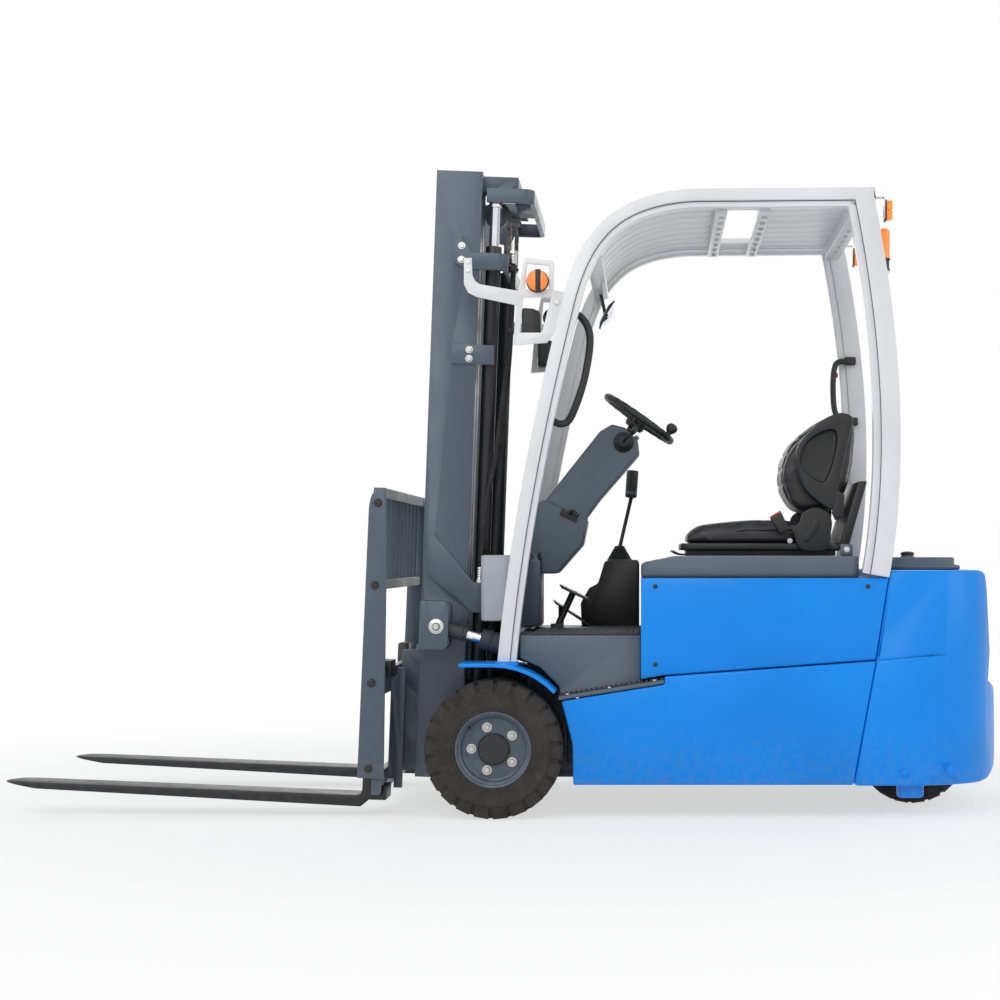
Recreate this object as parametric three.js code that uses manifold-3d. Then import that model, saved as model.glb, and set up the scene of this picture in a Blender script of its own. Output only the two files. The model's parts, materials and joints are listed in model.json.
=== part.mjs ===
// A three-wheel electric counterbalance forklift: two driven front wheels, one twin steered
// wheel at the rear, a two-stage mast with hook-on forks and an overhead guard.
//
// Millimetres. +X is forwards (towards the forks), +Y is the driver's left, +Z is up.
// While it is built, x is measured from the front axle and z from the floor; the finished
// truck is then shifted so that its origin lies under the middle of its overall length.
// The mast is built upright in its own group, whose origin is the tilt pivot.

import * as THREE from "three";
import { mergeVertices } from "three/addons/utils/BufferGeometryUtils.js";
import Module from "manifold-3d";

const wasm = await Module();
wasm.setup();

// ---------------------------------------------------------------- driving dimensions

const SEAT_GAP = 0.3; // between two pieces that touch
const SLIDE_GAP = 0.5; // between a shaft and its bore, or a hook and its bar

const WHEELBASE = 1427;
const REAR_OVERHANG = 267; // rear axle to the end of the counterweight
const BODY_WIDTH = 1000;
const BODY_CLEARANCE = 110; // floor to the underside of the body
const HALF = BODY_WIDTH / 2;
const REAR_END = -(WHEELBASE + REAR_OVERHANG);

const FRONT_TYRE = { outer: 228.5, rim: 125, width: 175 };
const REAR_TYRE = { outer: 190, rim: 105, width: 114 };
const WHEEL_SIDES = 28; // faces round a front wheel
const REAR_WHEEL_SIDES = 24;
const FRONT_WHEEL_CENTRE_Y = 452.5;
const REAR_TYRE_CENTRE_Y = 89;

const DECK_HEIGHT = 600; // top of the driver's floor
const DECK_THICK = 12;
const PANEL_TOP = 790; // top of the side panels, under the seat hood
const HOOD_TOP = 862;
const SEAT_BOX_FRONT = -483;
const COUNTERWEIGHT_TOP = 815;
const PANEL_THICK = 14;
const PANEL_INSET = 15; // side panels, behind the body's widest face
const PANEL_SEAM = 2; // shut line between a panel and the counterweight
const SEAT_BOX_WALL = 14;
const SEAT_BOX_FLARE = 470; // above this the seat box is as wide as the body

const GUARD_WIDTH = 60; // each side frame, across the truck
const GUARD_FACE = 40; // outer band of a side frame, seen from the side
const GUARD_STEP = 21; // recessed band inside it
const GUARD_FOOT_FRONT = 515;
const GUARD_INNER = HALF - GUARD_WIDTH;

const TILT = THREE.MathUtils.degToRad(2.1); // the mast rests leaning back
const PIVOT = { x: 85, z: 185 };
const CHANNEL_DEPTH = 155;
const CHANNEL_REAR = 37; // ahead of the pivot
const CHANNEL_FRONT = CHANNEL_REAR + CHANNEL_DEPTH;
const CHANNEL_WALL = 18;
const MAST_BOTTOM = -73;
const MAST_TOP = 1972;
const OUTER_FACE = 340; // outer mast channel, half the width over both
const OUTER_FLANGE = 62;
const INNER_FACE = 264;
const INNER_FLANGE = 59;

const LIFT_CYLINDER = { y: 290, front: 20.5, outer: 25.5, bore: 20, rod: 17 };
LIFT_CYLINDER.p = LIFT_CYLINDER.front - LIFT_CYLINDER.outer;
const LIFT_BARREL_TOP = 1727;
const LIFT_ROD_BOTTOM = 130; // piston end with the mast lowered
const BARREL_CUP = 20; // floor of the cup that a lift cylinder stands in
const GUSSET_FOOT = { low: 487, high: 583 };
const UPPER_CLAMP = { low: 1322, high: 1388, rear: -22 };
const ROD_SEAT = 26; // underside of the inner mast's head, below its top
const OUTER_TIE = { low: 1640, high: 1698, back: -58, thick: 16 };
const INNER_TIE = { low: 1872, high: 1920, back: -138, thick: 16, reach: 22 };
const CHAIN = { y: 162, width: 24, thick: 16, pulley: 38, pulleyP: 1.5, pulleyQ: 1850 };

const CARRIAGE_WIDTH = 1010;
const FORK_BAR = { rear: 288, front: 313, lowBottom: -118, lowTop: -48, highBottom: 209, highTop: 289 };
const BACKREST_HALF = 520;
const BACKREST_TOP = 890;
const FORK = { width: 120, thick: 40, length: 1200, y: 370, bottom: -168, top: 342 };

const TILT_CYLINDER = { y: GUARD_INNER - 40, rear: { x: -170, z: 523 }, outer: 35, rod: 17.5, pin: 14.5 };
const TILT_EYE = { p: 127, q: 439 };
const TILT_HOUSING = { gap: 26, outer: 40, rear: 40, wall: 38, front: 56, below: 78, above: 84 };

// ---------------------------------------------------------------- solids

function geometryOf(solid) {
  const made = solid.getMesh();
  const geometry = new THREE.BufferGeometry();
  geometry.setAttribute("position", new THREE.BufferAttribute(made.vertProperties, 3));
  geometry.setIndex(new THREE.BufferAttribute(made.triVerts, 1));
  return geometry;
}

function toSolid(geometry) {
  const bare = geometry.index ? geometry.toNonIndexed() : geometry;
  bare.deleteAttribute("normal");
  bare.deleteAttribute("uv");
  const merged = mergeVertices(bare, 1e-3);
  return new wasm.Manifold(
    new wasm.Mesh({
      numProp: 3,
      vertProperties: new Float32Array(merged.attributes.position.array),
      triVerts: new Uint32Array(merged.index.array),
    }),
  );
}

function join(...solids) {
  return solids.flat().reduce((whole, piece) => whole.add(piece));
}

function cut(solid, ...tools) {
  return tools.flat().reduce((left, tool) => left.subtract(tool), solid);
}

function box([x0, x1], [y0, y1], [z0, z1]) {
  const geometry = new THREE.BoxGeometry(x1 - x0, y1 - y0, z1 - z0);
  geometry.translate((x0 + x1) / 2, (y0 + y1) / 2, (z0 + z1) / 2);
  return toSolid(geometry);
}

// The span from a to b on one side of the truck, lowest first.
function spanY(side, a, b) {
  return side > 0 ? [a, b] : [-b, -a];
}

function polygon(points) {
  const shape = new THREE.Shape();
  shape.setFromPoints(points.map(([u, v]) => new THREE.Vector2(u, v)));
  return shape;
}

// A side view outline (x, z) carried across the truck.
function plate(shape, [y0, y1], curveSegments = 3) {
  const geometry = new THREE.ExtrudeGeometry(shape, {
    depth: y1 - y0,
    bevelEnabled: false,
    curveSegments,
  });
  geometry.rotateX(Math.PI / 2);
  geometry.translate(0, y1, 0);
  return toSolid(geometry);
}

// A plan view outline (x, y) carried upwards.
function column(shape, [z0, z1], curveSegments = 3) {
  const geometry = new THREE.ExtrudeGeometry(shape, {
    depth: z1 - z0,
    bevelEnabled: false,
    curveSegments,
  });
  geometry.translate(0, 0, z0);
  return toSolid(geometry);
}

function roundedRectangle(u0, u1, v0, v1, radius) {
  const shape = new THREE.Shape();
  shape.moveTo(u0 + radius, v0);
  shape.lineTo(u1 - radius, v0);
  shape.absarc(u1 - radius, v0 + radius, radius, -Math.PI / 2, 0);
  shape.lineTo(u1, v1 - radius);
  shape.absarc(u1 - radius, v1 - radius, radius, 0, Math.PI / 2);
  shape.lineTo(u0 + radius, v1);
  shape.absarc(u0 + radius, v1 - radius, radius, Math.PI / 2, Math.PI);
  shape.lineTo(u0, v0 + radius);
  shape.absarc(u0 + radius, v0 + radius, radius, Math.PI, 1.5 * Math.PI);
  return shape;
}

// A strip of constant width between two offsets of a chain of curves. Each curve is split
// into its own number of steps.
function band(curves, steps, near, far) {
  const samples = curves.flatMap((curve, k) =>
    Array.from({ length: steps[k] + (k === curves.length - 1 ? 1 : 0) }, (_, i) => ({
      point: curve.getPoint(i / steps[k]),
      tangent: curve.getTangent(i / steps[k]),
    })),
  );
  const offset = (distance) =>
    samples.map(
      ({ point, tangent }) =>
        new THREE.Vector2(point.x + tangent.y * distance, point.y - tangent.x * distance),
    );
  return new THREE.Shape(offset(near).concat(offset(far).reverse()));
}

function turned(profile, segments) {
  const points = profile.map(([r, h]) => new THREE.Vector2(r, h));
  return new THREE.LatheGeometry(points, segments);
}

// A solid of revolution about an axis across the truck: the profile is (radius, y).
function wheelShape(profile, { x, y = 0, z }, segments = 36) {
  return toSolid(turned(profile, segments).translate(x, y, z));
}

function rod(from, to, radius, segments = 20) {
  const a = new THREE.Vector3(...from);
  const b = new THREE.Vector3(...to);
  const geometry = new THREE.CylinderGeometry(radius, radius, a.distanceTo(b), segments);
  const turn = new THREE.Quaternion().setFromUnitVectors(
    new THREE.Vector3(0, 1, 0),
    b.clone().sub(a).normalize(),
  );
  geometry.applyQuaternion(turn);
  geometry.translate(...a.add(b).divideScalar(2).toArray());
  return toSolid(geometry);
}

// A round tube bent along a smooth line through the given points.
function bentTube(points, radius, steps = 24, sides = 8) {
  const line = new THREE.CatmullRomCurve3(points.map((point) => new THREE.Vector3(...point)));
  const section = new THREE.Shape();
  section.absarc(0, 0, radius, 0, 2 * Math.PI);
  return toSolid(
    new THREE.ExtrudeGeometry(section, {
      steps,
      extrudePath: line,
      curveSegments: sides / 2,
      bevelEnabled: false,
    }),
  );
}

const truck = new THREE.Group();
const mast = new THREE.Group();
mast.position.set(PIVOT.x, 0, PIVOT.z);
mast.rotation.y = -TILT;
truck.add(mast);

const PAINTS = {
  blue: { color: 0x0a86e0, roughness: 0.35, metalness: 0.1 },
  slate: { color: 0x51606e, roughness: 0.45, metalness: 0.2 },
  white: { color: 0xe4e4e6, roughness: 0.4, metalness: 0.1 },
  grey: { color: 0x46525e, roughness: 0.6, metalness: 0 },
  lightGrey: { color: 0xb9bcc4, roughness: 0.6, metalness: 0 },
  black: { color: 0x1c1c1f, roughness: 0.6, metalness: 0.1 },
  rubber: { color: 0x33302d, roughness: 0.9, metalness: 0 },
  chrome: { color: 0xd8dade, roughness: 0.12, metalness: 1 },
  iron: { color: 0x2c3036, roughness: 0.7, metalness: 0.4 },
  orange: { color: 0xff8a10, roughness: 0.3, metalness: 0 },
};

function addPiece(name, solid, paint, group = truck) {
  const mesh = new THREE.Mesh(geometryOf(solid), new THREE.MeshStandardMaterial(PAINTS[paint]));
  mesh.name = name;
  group.add(mesh);
}

const SIDES = [
  { side: 1, label: "left" },
  { side: -1, label: "right" },
];

// ---------------------------------------------------------------- chassis

const RAIL = { inner: 322, outer: 340, low: 130, high: 330 };
const BELLY = { low: 118, high: 132, half: 430, front: -262, nose: -60 };
const BULKHEAD = { rear: -1164, thick: 14, top: 700 };
const DASH = { rear: -118, front: -100, low: 480 };
const DECK_UNDERSIDE = DECK_HEIGHT - DECK_THICK - SEAT_GAP;
const AXLE = { housing: 43, flange: 70, end: 469.5 };
const STEER_PLATE = { low: 475, high: 497, rear: -WHEELBASE - 133, half: 200 };
const KINGPIN = 30;
const FENDER_INNER = 358.5;
const AXLE_Z = FRONT_TYRE.outer;

function tiltBracket(side) {
  const { rear, y, pin } = TILT_CYLINDER;
  const inner = plate(
    polygon([
      [-235, RAIL.low + 40],
      [-235, 562],
      [-150, 562],
      [-120, 500],
      [-120, RAIL.low + 40],
    ]),
    spanY(side, RAIL.outer - 1, FENDER_INNER - SLIDE_GAP),
  );
  const outerEar = plate(roundedRectangle(-235, -146, 492, 556, 16), spanY(side, y + 26, y + 38));
  const bridge = box([-235, -213], spanY(side, RAIL.outer, y + 38), [482, 562]);
  const shaft = rod(
    [rear.x, side * (RAIL.outer + 2), rear.z],
    [rear.x, side * (y + 44), rear.z],
    pin,
  );
  return join(inner, outerEar, bridge, shaft);
}

function chassisFrame() {
  const { low, high, half } = BELLY;
  const belly = join(
    box([BULKHEAD.rear, BELLY.front], [-half, half], [low, high]),
    box([BELLY.front - 1, BELLY.nose], [-RAIL.outer, RAIL.outer], [low, high]),
  );
  const rails = SIDES.map(({ side }) =>
    box([BULKHEAD.rear, 30], spanY(side, RAIL.inner, RAIL.outer), [RAIL.low, RAIL.high]),
  );
  const bulkhead = box(
    [BULKHEAD.rear - BULKHEAD.thick, BULKHEAD.rear],
    [-half, half],
    [low, BULKHEAD.top],
  );
  const panelInside = HALF - PANEL_INSET - PANEL_THICK - SEAT_GAP;
  const seatBoxFront = join(
    box([SEAT_BOX_FRONT - SEAT_BOX_WALL, SEAT_BOX_FRONT], [-half, half], [high - 1, PANEL_TOP]),
    box(
      [SEAT_BOX_FRONT - SEAT_BOX_WALL, SEAT_BOX_FRONT],
      [-panelInside, panelInside],
      [SEAT_BOX_FLARE, PANEL_TOP],
    ),
  );
  const deckPost = SIDES.map(({ side }) =>
    box([DASH.rear, DASH.front], spanY(side, RAIL.inner, RAIL.outer), [RAIL.high - 1, DECK_UNDERSIDE]),
  );
  const dash = box([DASH.rear, DASH.front], [-RAIL.outer, RAIL.outer], [DASH.low, DECK_UNDERSIDE]);
  const steerPlate = box(
    [STEER_PLATE.rear, BULKHEAD.rear],
    [-STEER_PLATE.half, STEER_PLATE.half],
    [STEER_PLATE.low, STEER_PLATE.high],
  );
  const kingpinHole = rod(
    [-WHEELBASE, 0, STEER_PLATE.low - 20],
    [-WHEELBASE, 0, STEER_PLATE.high + 20],
    KINGPIN + 2 * SLIDE_GAP,
    16,
  );
  const frame = join(belly, rails, bulkhead, seatBoxFront, deckPost, dash, steerPlate);
  const axleSeat = rod(
    [0, -RAIL.outer - 60, AXLE_Z],
    [0, RAIL.outer + 60, AXLE_Z],
    AXLE.housing + SEAT_GAP,
    18,
  );
  return join(cut(frame, kingpinHole, axleSeat), SIDES.map(({ side }) => tiltBracket(side)));
}

const PIVOT_PIN = 19;
const PIVOT_EAR = { y: 190, width: 30, radius: 30 };

function driveAxle() {
  const housing = rod([0, -350, AXLE_Z], [0, 350, AXLE_Z], AXLE.housing, 18);
  const hubs = SIDES.map(({ side }) =>
    rod([0, side * 345, AXLE_Z], [0, side * AXLE.end, AXLE_Z], AXLE.flange, 18),
  );
  const ears = SIDES.flatMap(({ side }) => {
    const outline = polygon([
      [0, AXLE_Z + 34],
      [0, AXLE_Z - 40],
      [PIVOT.x, PIVOT.z - 30],
      [PIVOT.x + 26, PIVOT.z - 12],
      [PIVOT.x + 26, PIVOT.z + 12],
      [PIVOT.x, PIVOT.z + 30],
      [40, AXLE_Z + 34],
    ]);
    const { y, width } = PIVOT_EAR;
    return [
      plate(outline, spanY(side, y - 20, y - 4)),
      plate(outline, spanY(side, y + width + 4, y + width + 20)),
    ];
  });
  const pins = SIDES.map(({ side }) =>
    rod(
      [PIVOT.x, side * (PIVOT_EAR.y - 20), PIVOT.z],
      [PIVOT.x, side * (PIVOT_EAR.y + PIVOT_EAR.width + 20), PIVOT.z],
      PIVOT_PIN,
      16,
    ),
  );
  return join(housing, hubs, ears, pins);
}

const BATTERY_TOP = 735;

function battery() {
  return box([-1146, -540], [-310, 310], [BELLY.high + SEAT_GAP, BATTERY_TOP]);
}

// ---------------------------------------------------------------- body panels

// The parting line between the side panels and the counterweight, from the bottom up.
const PARTING = [
  [-1182, 108],
  [-1257.5, 521],
  [-1303.5, 815],
];

function partingX(z) {
  const [low, middle, high] = PARTING;
  const [a, b] = z < middle[1] ? [low, middle] : [middle, high];
  return a[0] + ((z - a[1]) * (b[0] - a[0])) / (b[1] - a[1]);
}

const CREASE = { front: 466, rear: 517 }; // top edge of the lower skirts
const STEP = { front: -212, rear: -559, low: 402, high: 457, inner: HALF - 44, thick: 14 };

function sidePanel(side) {
  const rearTop = partingX(PANEL_TOP) + PANEL_SEAM;
  const outline = polygon([
    [SEAT_BOX_FRONT, PANEL_TOP - SEAT_GAP],
    [SEAT_BOX_FRONT, STEP.high - 2],
    [STEP.rear, CREASE.front + 3],
    [partingX(CREASE.rear) + PANEL_SEAM, CREASE.rear + 3],
    [rearTop, PANEL_TOP - SEAT_GAP],
  ]);
  return plate(outline, spanY(side, HALF - PANEL_INSET - PANEL_THICK, HALF - PANEL_INSET));
}

function sideSkirt(side) {
  const outline = polygon([
    [STEP.front - 10, STEP.low - STEP.thick - 2],
    [-258, 245],
    [-261, BODY_CLEARANCE],
    [partingX(BODY_CLEARANCE) + PANEL_SEAM, BODY_CLEARANCE],
    [partingX(CREASE.rear) + PANEL_SEAM, CREASE.rear],
    [STEP.rear - 1, CREASE.front],
    [STEP.rear - 1, STEP.high - STEP.thick - 2],
  ]);
  const sheet = plate(outline, spanY(side, HALF - PANEL_THICK, HALF));
  const stay = box(
    [-1100, -300],
    spanY(side, BELLY.half + SEAT_GAP, HALF - 1),
    [BELLY.low + 2, BELLY.high - 1],
  );
  return join(sheet, stay);
}

const FENDER = {
  outer: 545,
  radius: FRONT_TYRE.outer + 54.5,
  thick: 12,
  top: 2 * FRONT_TYRE.outer + 54,
};

function fender(side) {
  const { top, radius, thick } = FENDER;
  const end = THREE.MathUtils.degToRad(137);
  const line = [
    new THREE.LineCurve(new THREE.Vector2(111, top), new THREE.Vector2(0, top)),
    new THREE.EllipseCurve(0, top - radius, radius, radius, Math.PI / 2, end, false),
  ];
  const outline = band(line, [1, 6], 0, -thick);
  const sheet = plate(outline, spanY(side, FENDER_INNER, FENDER.outer));
  const foot = box([-78, -4], spanY(side, GUARD_INNER, HALF), [top - thick, GUARD_FOOT_FRONT - SEAT_GAP]);
  return join(sheet, foot);
}

function deck() {
  const top = DECK_HEIGHT;
  const low = top - DECK_THICK;
  const rear = SEAT_BOX_FRONT + SLIDE_GAP;
  const plates = join(
    box([rear, -60], [-352, 352], [low, top]),
    box([rear, -105], [-STEP.inner, STEP.inner], [low, top]),
  );
  const risers = SIDES.map(({ side }) =>
    plate(
      polygon([
        [-84, top],
        [-84, 524],
        [-150, 494],
        [-214, 430],
        [STEP.front - 2, STEP.low - STEP.thick],
        [rear, 431],
        [rear, top],
      ]),
      spanY(side, STEP.inner - 10, STEP.inner),
    ),
  );
  const steps = SIDES.map(({ side }) =>
    cut(
      plate(
        polygon([
          [STEP.front, STEP.low],
          [STEP.front, STEP.low - STEP.thick],
          [STEP.rear, STEP.high - STEP.thick],
          [STEP.rear, STEP.high],
        ]),
        spanY(side, STEP.inner - 1, HALF + 4),
      ),
      box(
        [STEP.rear - 1, SEAT_BOX_FRONT - SEAT_BOX_WALL - 1],
        spanY(side, STEP.inner - 20, HALF - PANEL_INSET + SLIDE_GAP),
        [STEP.low - 2, STEP.high + 43],
      ),
    ),
  );
  return join(plates, risers, steps);
}

const COWL = { front: -45, rear: -60, shelfRear: -96, top: 865, half: GUARD_INNER - 8 };

function frontCowl() {
  const { front, rear, top, half } = COWL;
  const wall = box([rear, front], [-half, half], [DECK_HEIGHT + SEAT_GAP + 12, top]);
  const foot = box([rear - 20, front], [-340, 340], [DECK_HEIGHT + SEAT_GAP, DECK_HEIGHT + 14]);
  const shelf = box([COWL.shelfRear, front], [-half, half], [top - 15, top]);
  const lobes = SIDES.map(({ side }) => {
    const [y0, y1] = spanY(side, half - 74, half);
    return column(roundedRectangle(front - 9, 50, y0, y1, 28), [646, top], 3);
  });
  return join(wall, foot, shelf, lobes);
}

// ---------------------------------------------------------------- counterweight and cover

const WHEEL_WELL = 247;

function counterweight() {
  const [low, middle, high] = PARTING;
  const side = new THREE.Shape();
  side.moveTo(...low);
  side.lineTo(...middle);
  side.lineTo(...high);
  side.lineTo(REAR_END + 85, COUNTERWEIGHT_TOP);
  side.quadraticCurveTo(REAR_END + 56, COUNTERWEIGHT_TOP, REAR_END + 54, COUNTERWEIGHT_TOP - 32);
  side.lineTo(REAR_END + 38, 545);
  side.lineTo(REAR_END + 38, 440);
  side.lineTo(REAR_END + 17, 425);
  side.lineTo(REAR_END, 243);
  side.lineTo(REAR_END + 10, 170);
  side.quadraticCurveTo(REAR_END + 25, 108, REAR_END + 80, 108);
  const corner = 300;
  const plan = new THREE.Shape();
  plan.moveTo(-1000, -HALF);
  plan.lineTo(-1000, HALF);
  plan.lineTo(REAR_END + corner, HALF);
  plan.absarc(REAR_END + corner, HALF - corner, corner, Math.PI / 2, Math.PI);
  plan.absarc(REAR_END + corner, -HALF + corner, corner, Math.PI, 1.5 * Math.PI);
  const block = plate(side, [-HALF, HALF], 3).intersect(column(plan, [90, 830], 5));
  const upperInset = SIDES.map(({ side: hand }) =>
    plate(
      polygon([
        [-1200, CREASE.rear - 3],
        [REAR_END - 5, 560],
        [REAR_END - 5, 830],
        [-1200, 830],
      ]),
      spanY(hand, HALF - PANEL_INSET, HALF + 5),
    ),
  );
  const well = rod([-WHEELBASE, 0, 80], [-WHEELBASE, 0, STEER_PLATE.low], WHEEL_WELL, 32);
  const tongueSlot = box(
    [STEER_PLATE.rear - SLIDE_GAP, -1100],
    [-STEER_PLATE.half - SLIDE_GAP, STEER_PLATE.half + SLIDE_GAP],
    [STEER_PLATE.low - 5, STEER_PLATE.high + SEAT_GAP],
  );
  const kingpinRoom = rod([-WHEELBASE, 0, 480], [-WHEELBASE, 0, 540], 60, 14);
  const bulkheadRoom = box([BULKHEAD.rear - BULKHEAD.thick - SLIDE_GAP, -1100], [-431, 431], [90, 830]);
  const lugs = SIDES.map(({ side: hand }) =>
    column(roundedRectangle(-1418, -1330, ...spanY(hand, 418, 470), 22), [63, 120], 4),
  );
  return join(cut(block, upperInset, well, tongueSlot, kingpinRoom, bulkheadRoom), lugs);
}

const COVER = { front: -1315, half: 340, corner: 60, rim: 832, top: 858, capTop: 870, cap: 22 };

function rearCover() {
  const { front, half, corner, rim, top, capTop, cap: capRadius } = COVER;
  const base = column(roundedRectangle(REAR_END + 127, front, -half, half, corner), [
    COUNTERWEIGHT_TOP + SEAT_GAP,
    rim,
  ]);
  const dome = column(
    roundedRectangle(REAR_END + 144, front - 5, -half + 18, half - 18, corner),
    [rim - 1, top],
  );
  const cap = rod([REAR_END + 266, 0, top - 1], [REAR_END + 266, 0, capTop], capRadius);
  return join(base, dome, cap);
}

// ---------------------------------------------------------------- overhead guard

const GUARD_TOP = 2073;
const ROOF_REAR = -1253;

const FRONT_STEPS = [5, 8, 1];
const REAR_STEPS = [7];

function guardFrontCurves() {
  const foot = new THREE.Vector2(-12, GUARD_FOOT_FRONT);
  const shoulder = new THREE.Vector2(-228, 1716);
  const roof = new THREE.Vector2(-660, GUARD_TOP - 5);
  return [
    new THREE.QuadraticBezierCurve(foot, new THREE.Vector2(-62, 1060), shoulder),
    new THREE.CubicBezierCurve(
      shoulder,
      new THREE.Vector2(-290, 1950),
      new THREE.Vector2(-410, GUARD_TOP - 18),
      roof,
    ),
    new THREE.LineCurve(roof, new THREE.Vector2(ROOF_REAR, GUARD_TOP)),
  ];
}

function guardRearCurve() {
  return new THREE.QuadraticBezierCurve(
    new THREE.Vector2(-1243, GUARD_TOP),
    new THREE.Vector2(-1395, 1340),
    new THREE.Vector2(-1299, PANEL_TOP + 1),
  );
}

function guardSide(side) {
  const outer = spanY(side, GUARD_INNER, HALF);
  const inset = spanY(side, GUARD_INNER + 6, HALF - 12);
  const front = guardFrontCurves();
  const rear = [guardRearCurve()];
  const rearFace = 62;
  const frame = join(
    plate(band(front, FRONT_STEPS, 0, -GUARD_FACE), outer),
    plate(band(front, FRONT_STEPS, -GUARD_FACE + 1, -GUARD_FACE - GUARD_STEP), inset),
    plate(band(rear, REAR_STEPS, 0, -rearFace), outer),
    plate(band(rear, REAR_STEPS, -rearFace + 1, -rearFace - 26), inset),
  );
  const floorCut = box([-110, 60], [-HALF - 10, HALF + 10], [300, GUARD_FOOT_FRONT]);
  const panelCut = box([-1500, -1000], [-HALF - 10, HALF + 10], [600, PANEL_TOP + SEAT_GAP]);
  const weightCut = box([-1500, -1302], [-HALF - 10, HALF + 10], [600, COUNTERWEIGHT_TOP + SEAT_GAP]);
  return cut(frame, floorCut, panelCut, weightCut);
}

const SLAT = { count: 8, pitch: 106, width: 98, thick: 6, drop: 34 };

function guardRoof() {
  const rail = GUARD_INNER - SEAT_GAP;
  const beams = [
    box([-356, -300], [-rail, rail], [1838, 1858]),
    box([-770, -730], [-rail, rail], [1996, 2036]),
    box([-915, -875], [-rail, rail], [1998, 2038]),
    box([-1232, -1176], [-rail, rail], [1990, 2040]),
  ];
  const slatShape = band(guardFrontCurves(), FRONT_STEPS, -SLAT.drop, -SLAT.drop - SLAT.thick);
  const first = (-(SLAT.count - 1) * SLAT.pitch) / 2;
  const strips = Array.from({ length: SLAT.count }, (_, i) => {
    const middle = first + i * SLAT.pitch;
    return plate(slatShape, [middle - SLAT.width / 2, middle + SLAT.width / 2]);
  });
  const legsRoom = box([-340, 60], [-HALF, HALF], [400, 1846]);
  const bayHalf = -first - SLAT.width / 2;
  const openBay = box([-876, -769], [-bayHalf, bayHalf], [1900, 2100]);
  const rearRoom = box([-1400, -1200], [-HALF, HALF], [2041, 2100]);
  const slats = cut(join(...strips), legsRoom, openBay, rearRoom);
  return join(slats, beams);
}

// ---------------------------------------------------------------- lamps, mirror and handles

// Where a leg's outer face is at a given height, on the line through its sample points.
function legX(points, z) {
  const next = points.findIndex((point, i) => i > 0 && (point.y - z) * (points[i - 1].y - z) <= 0);
  const [a, b] = [points[next - 1], points[next]];
  return a.x + ((z - a.y) * (b.x - a.x)) / (b.y - a.y);
}

function guardFrontX(z) {
  return legX(guardFrontCurves()[0].getPoints(FRONT_STEPS[0]), z);
}

function guardRearX(z) {
  return legX(guardRearCurve().getPoints(REAR_STEPS[0]), z);
}

function lampBracket(side) {
  const strip = plate(
    polygon([
      [116, 1850],
      [78, 1850],
      [74, 1778],
      [34, 1752],
      [-103, 1722],
      [-103, 1840],
      [-122, 1840],
      [guardFrontX(1715) + SLIDE_GAP, 1715],
      [guardFrontX(1560) + SLIDE_GAP, 1560],
      [-84, 1540],
      [-84, 1694],
      [30, 1722],
      [100, 1742],
      [116, 1790],
    ]),
    spanY(side, HALF - 48, HALF - 42),
  );
  const indicator = box([-172, -112], spanY(side, HALF - 44, HALF - 4), [1732, 1806]);
  const lamp = box([-150, -88], spanY(side, HALF - 100, HALF - 47), [1575, 1680]);
  return join(strip, indicator, lamp);
}

function rearLight(side) {
  const back = guardRearX(1960) - SEAT_GAP;
  const stay = box([back - 8, back - 2], spanY(side, HALF - 48, HALF - 12), [1968, 2062]);
  const arm = box([back - 7, ROOF_REAR - SEAT_GAP], spanY(side, HALF - 44, HALF - 16), [2040, 2046]);
  const lampBody = box([back - 46, back - 7], spanY(side, HALF - 54, HALF - 6), [1965, 2034]);
  return join(stay, arm, lampBody);
}

const BEACON = { x: -1290, inset: 28, low: 1808, base: 1848, top: 1952, foot: 21, dome: 24 };

function beacon() {
  const { x, low, base, top } = BEACON;
  const y = GUARD_INNER - BEACON.inset;
  const post = rod([x, y, low], [x, y, base], BEACON.foot, 16);
  const dome = rod([x, y, base - 2], [x, y, top], BEACON.dome, 16);
  const arm = box([x - 10, x + 40], [y - 10, GUARD_INNER - SEAT_GAP], [low + 4, low + 18]);
  return join(post, dome, arm);
}

const HANDLE = { inset: 32, frontRadius: 13, rearRadius: 11 }; // tube axis from the guard

function grabHandleFront() {
  const y = GUARD_INNER - HANDLE.inset;
  const tube = bentTube(
    [
      [-215, y, 1640],
      [-268, y, 1668],
      [-312, y, 1600],
      [-296, y, 1460],
      [-252, y, 1330],
      [-218, y, 1302],
      [-178, y, 1318],
    ],
    HANDLE.frontRadius,
    16,
    8,
  );
  const mounts = [
    box([-236, -196], [y, GUARD_INNER - SEAT_GAP], [1620, 1655]),
    box([-196, -146], [y, GUARD_INNER - SEAT_GAP], [1296, 1330]),
  ];
  return join(tube, mounts);
}

function grabHandleRear() {
  const y = -(GUARD_INNER - HANDLE.inset);
  const tube = bentTube(
    [
      [-1255, y, 1600],
      [-1215, y, 1585],
      [-1205, y, 1500],
      [-1215, y, 1400],
      [-1262, y, 1370],
    ],
    HANDLE.rearRadius,
    12,
    8,
  );
  const mounts = [
    box([-1292, -1250], [-(GUARD_INNER - SEAT_GAP), y], [1585, 1615]),
    box([-1300, -1256], [-(GUARD_INNER - SEAT_GAP), y], [1356, 1386]),
  ];
  return join(tube, mounts);
}

const MIRROR = { centre: [-352, -300, 1760], radius: 70, set: 40, cap: 0.95, lean: 0.5, top: 1835.5 };

// A convex mirror: a cap of a sphere, leaning down towards the driver, on a short arm.
function mirror() {
  const { centre, radius, set, cap, lean, top } = MIRROR;
  const closed = toSolid(
    turned(
      Array.from({ length: 8 }, (_, i) => {
        const angle = (i / 7) * cap;
        return [radius * Math.sin(angle), radius * Math.cos(angle) - set];
      }).concat([[0, radius * Math.cos(cap) - set]]).reverse(),
      24,
    )
      .rotateZ(Math.PI / 2)
      .rotateY(-lean)
      .translate(...centre),
  );
  const arm = rod([centre[0] + 2, centre[1], centre[2]], [centre[0] + 22, centre[1], top], 7, 10);
  return join(closed, arm);
}

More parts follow.
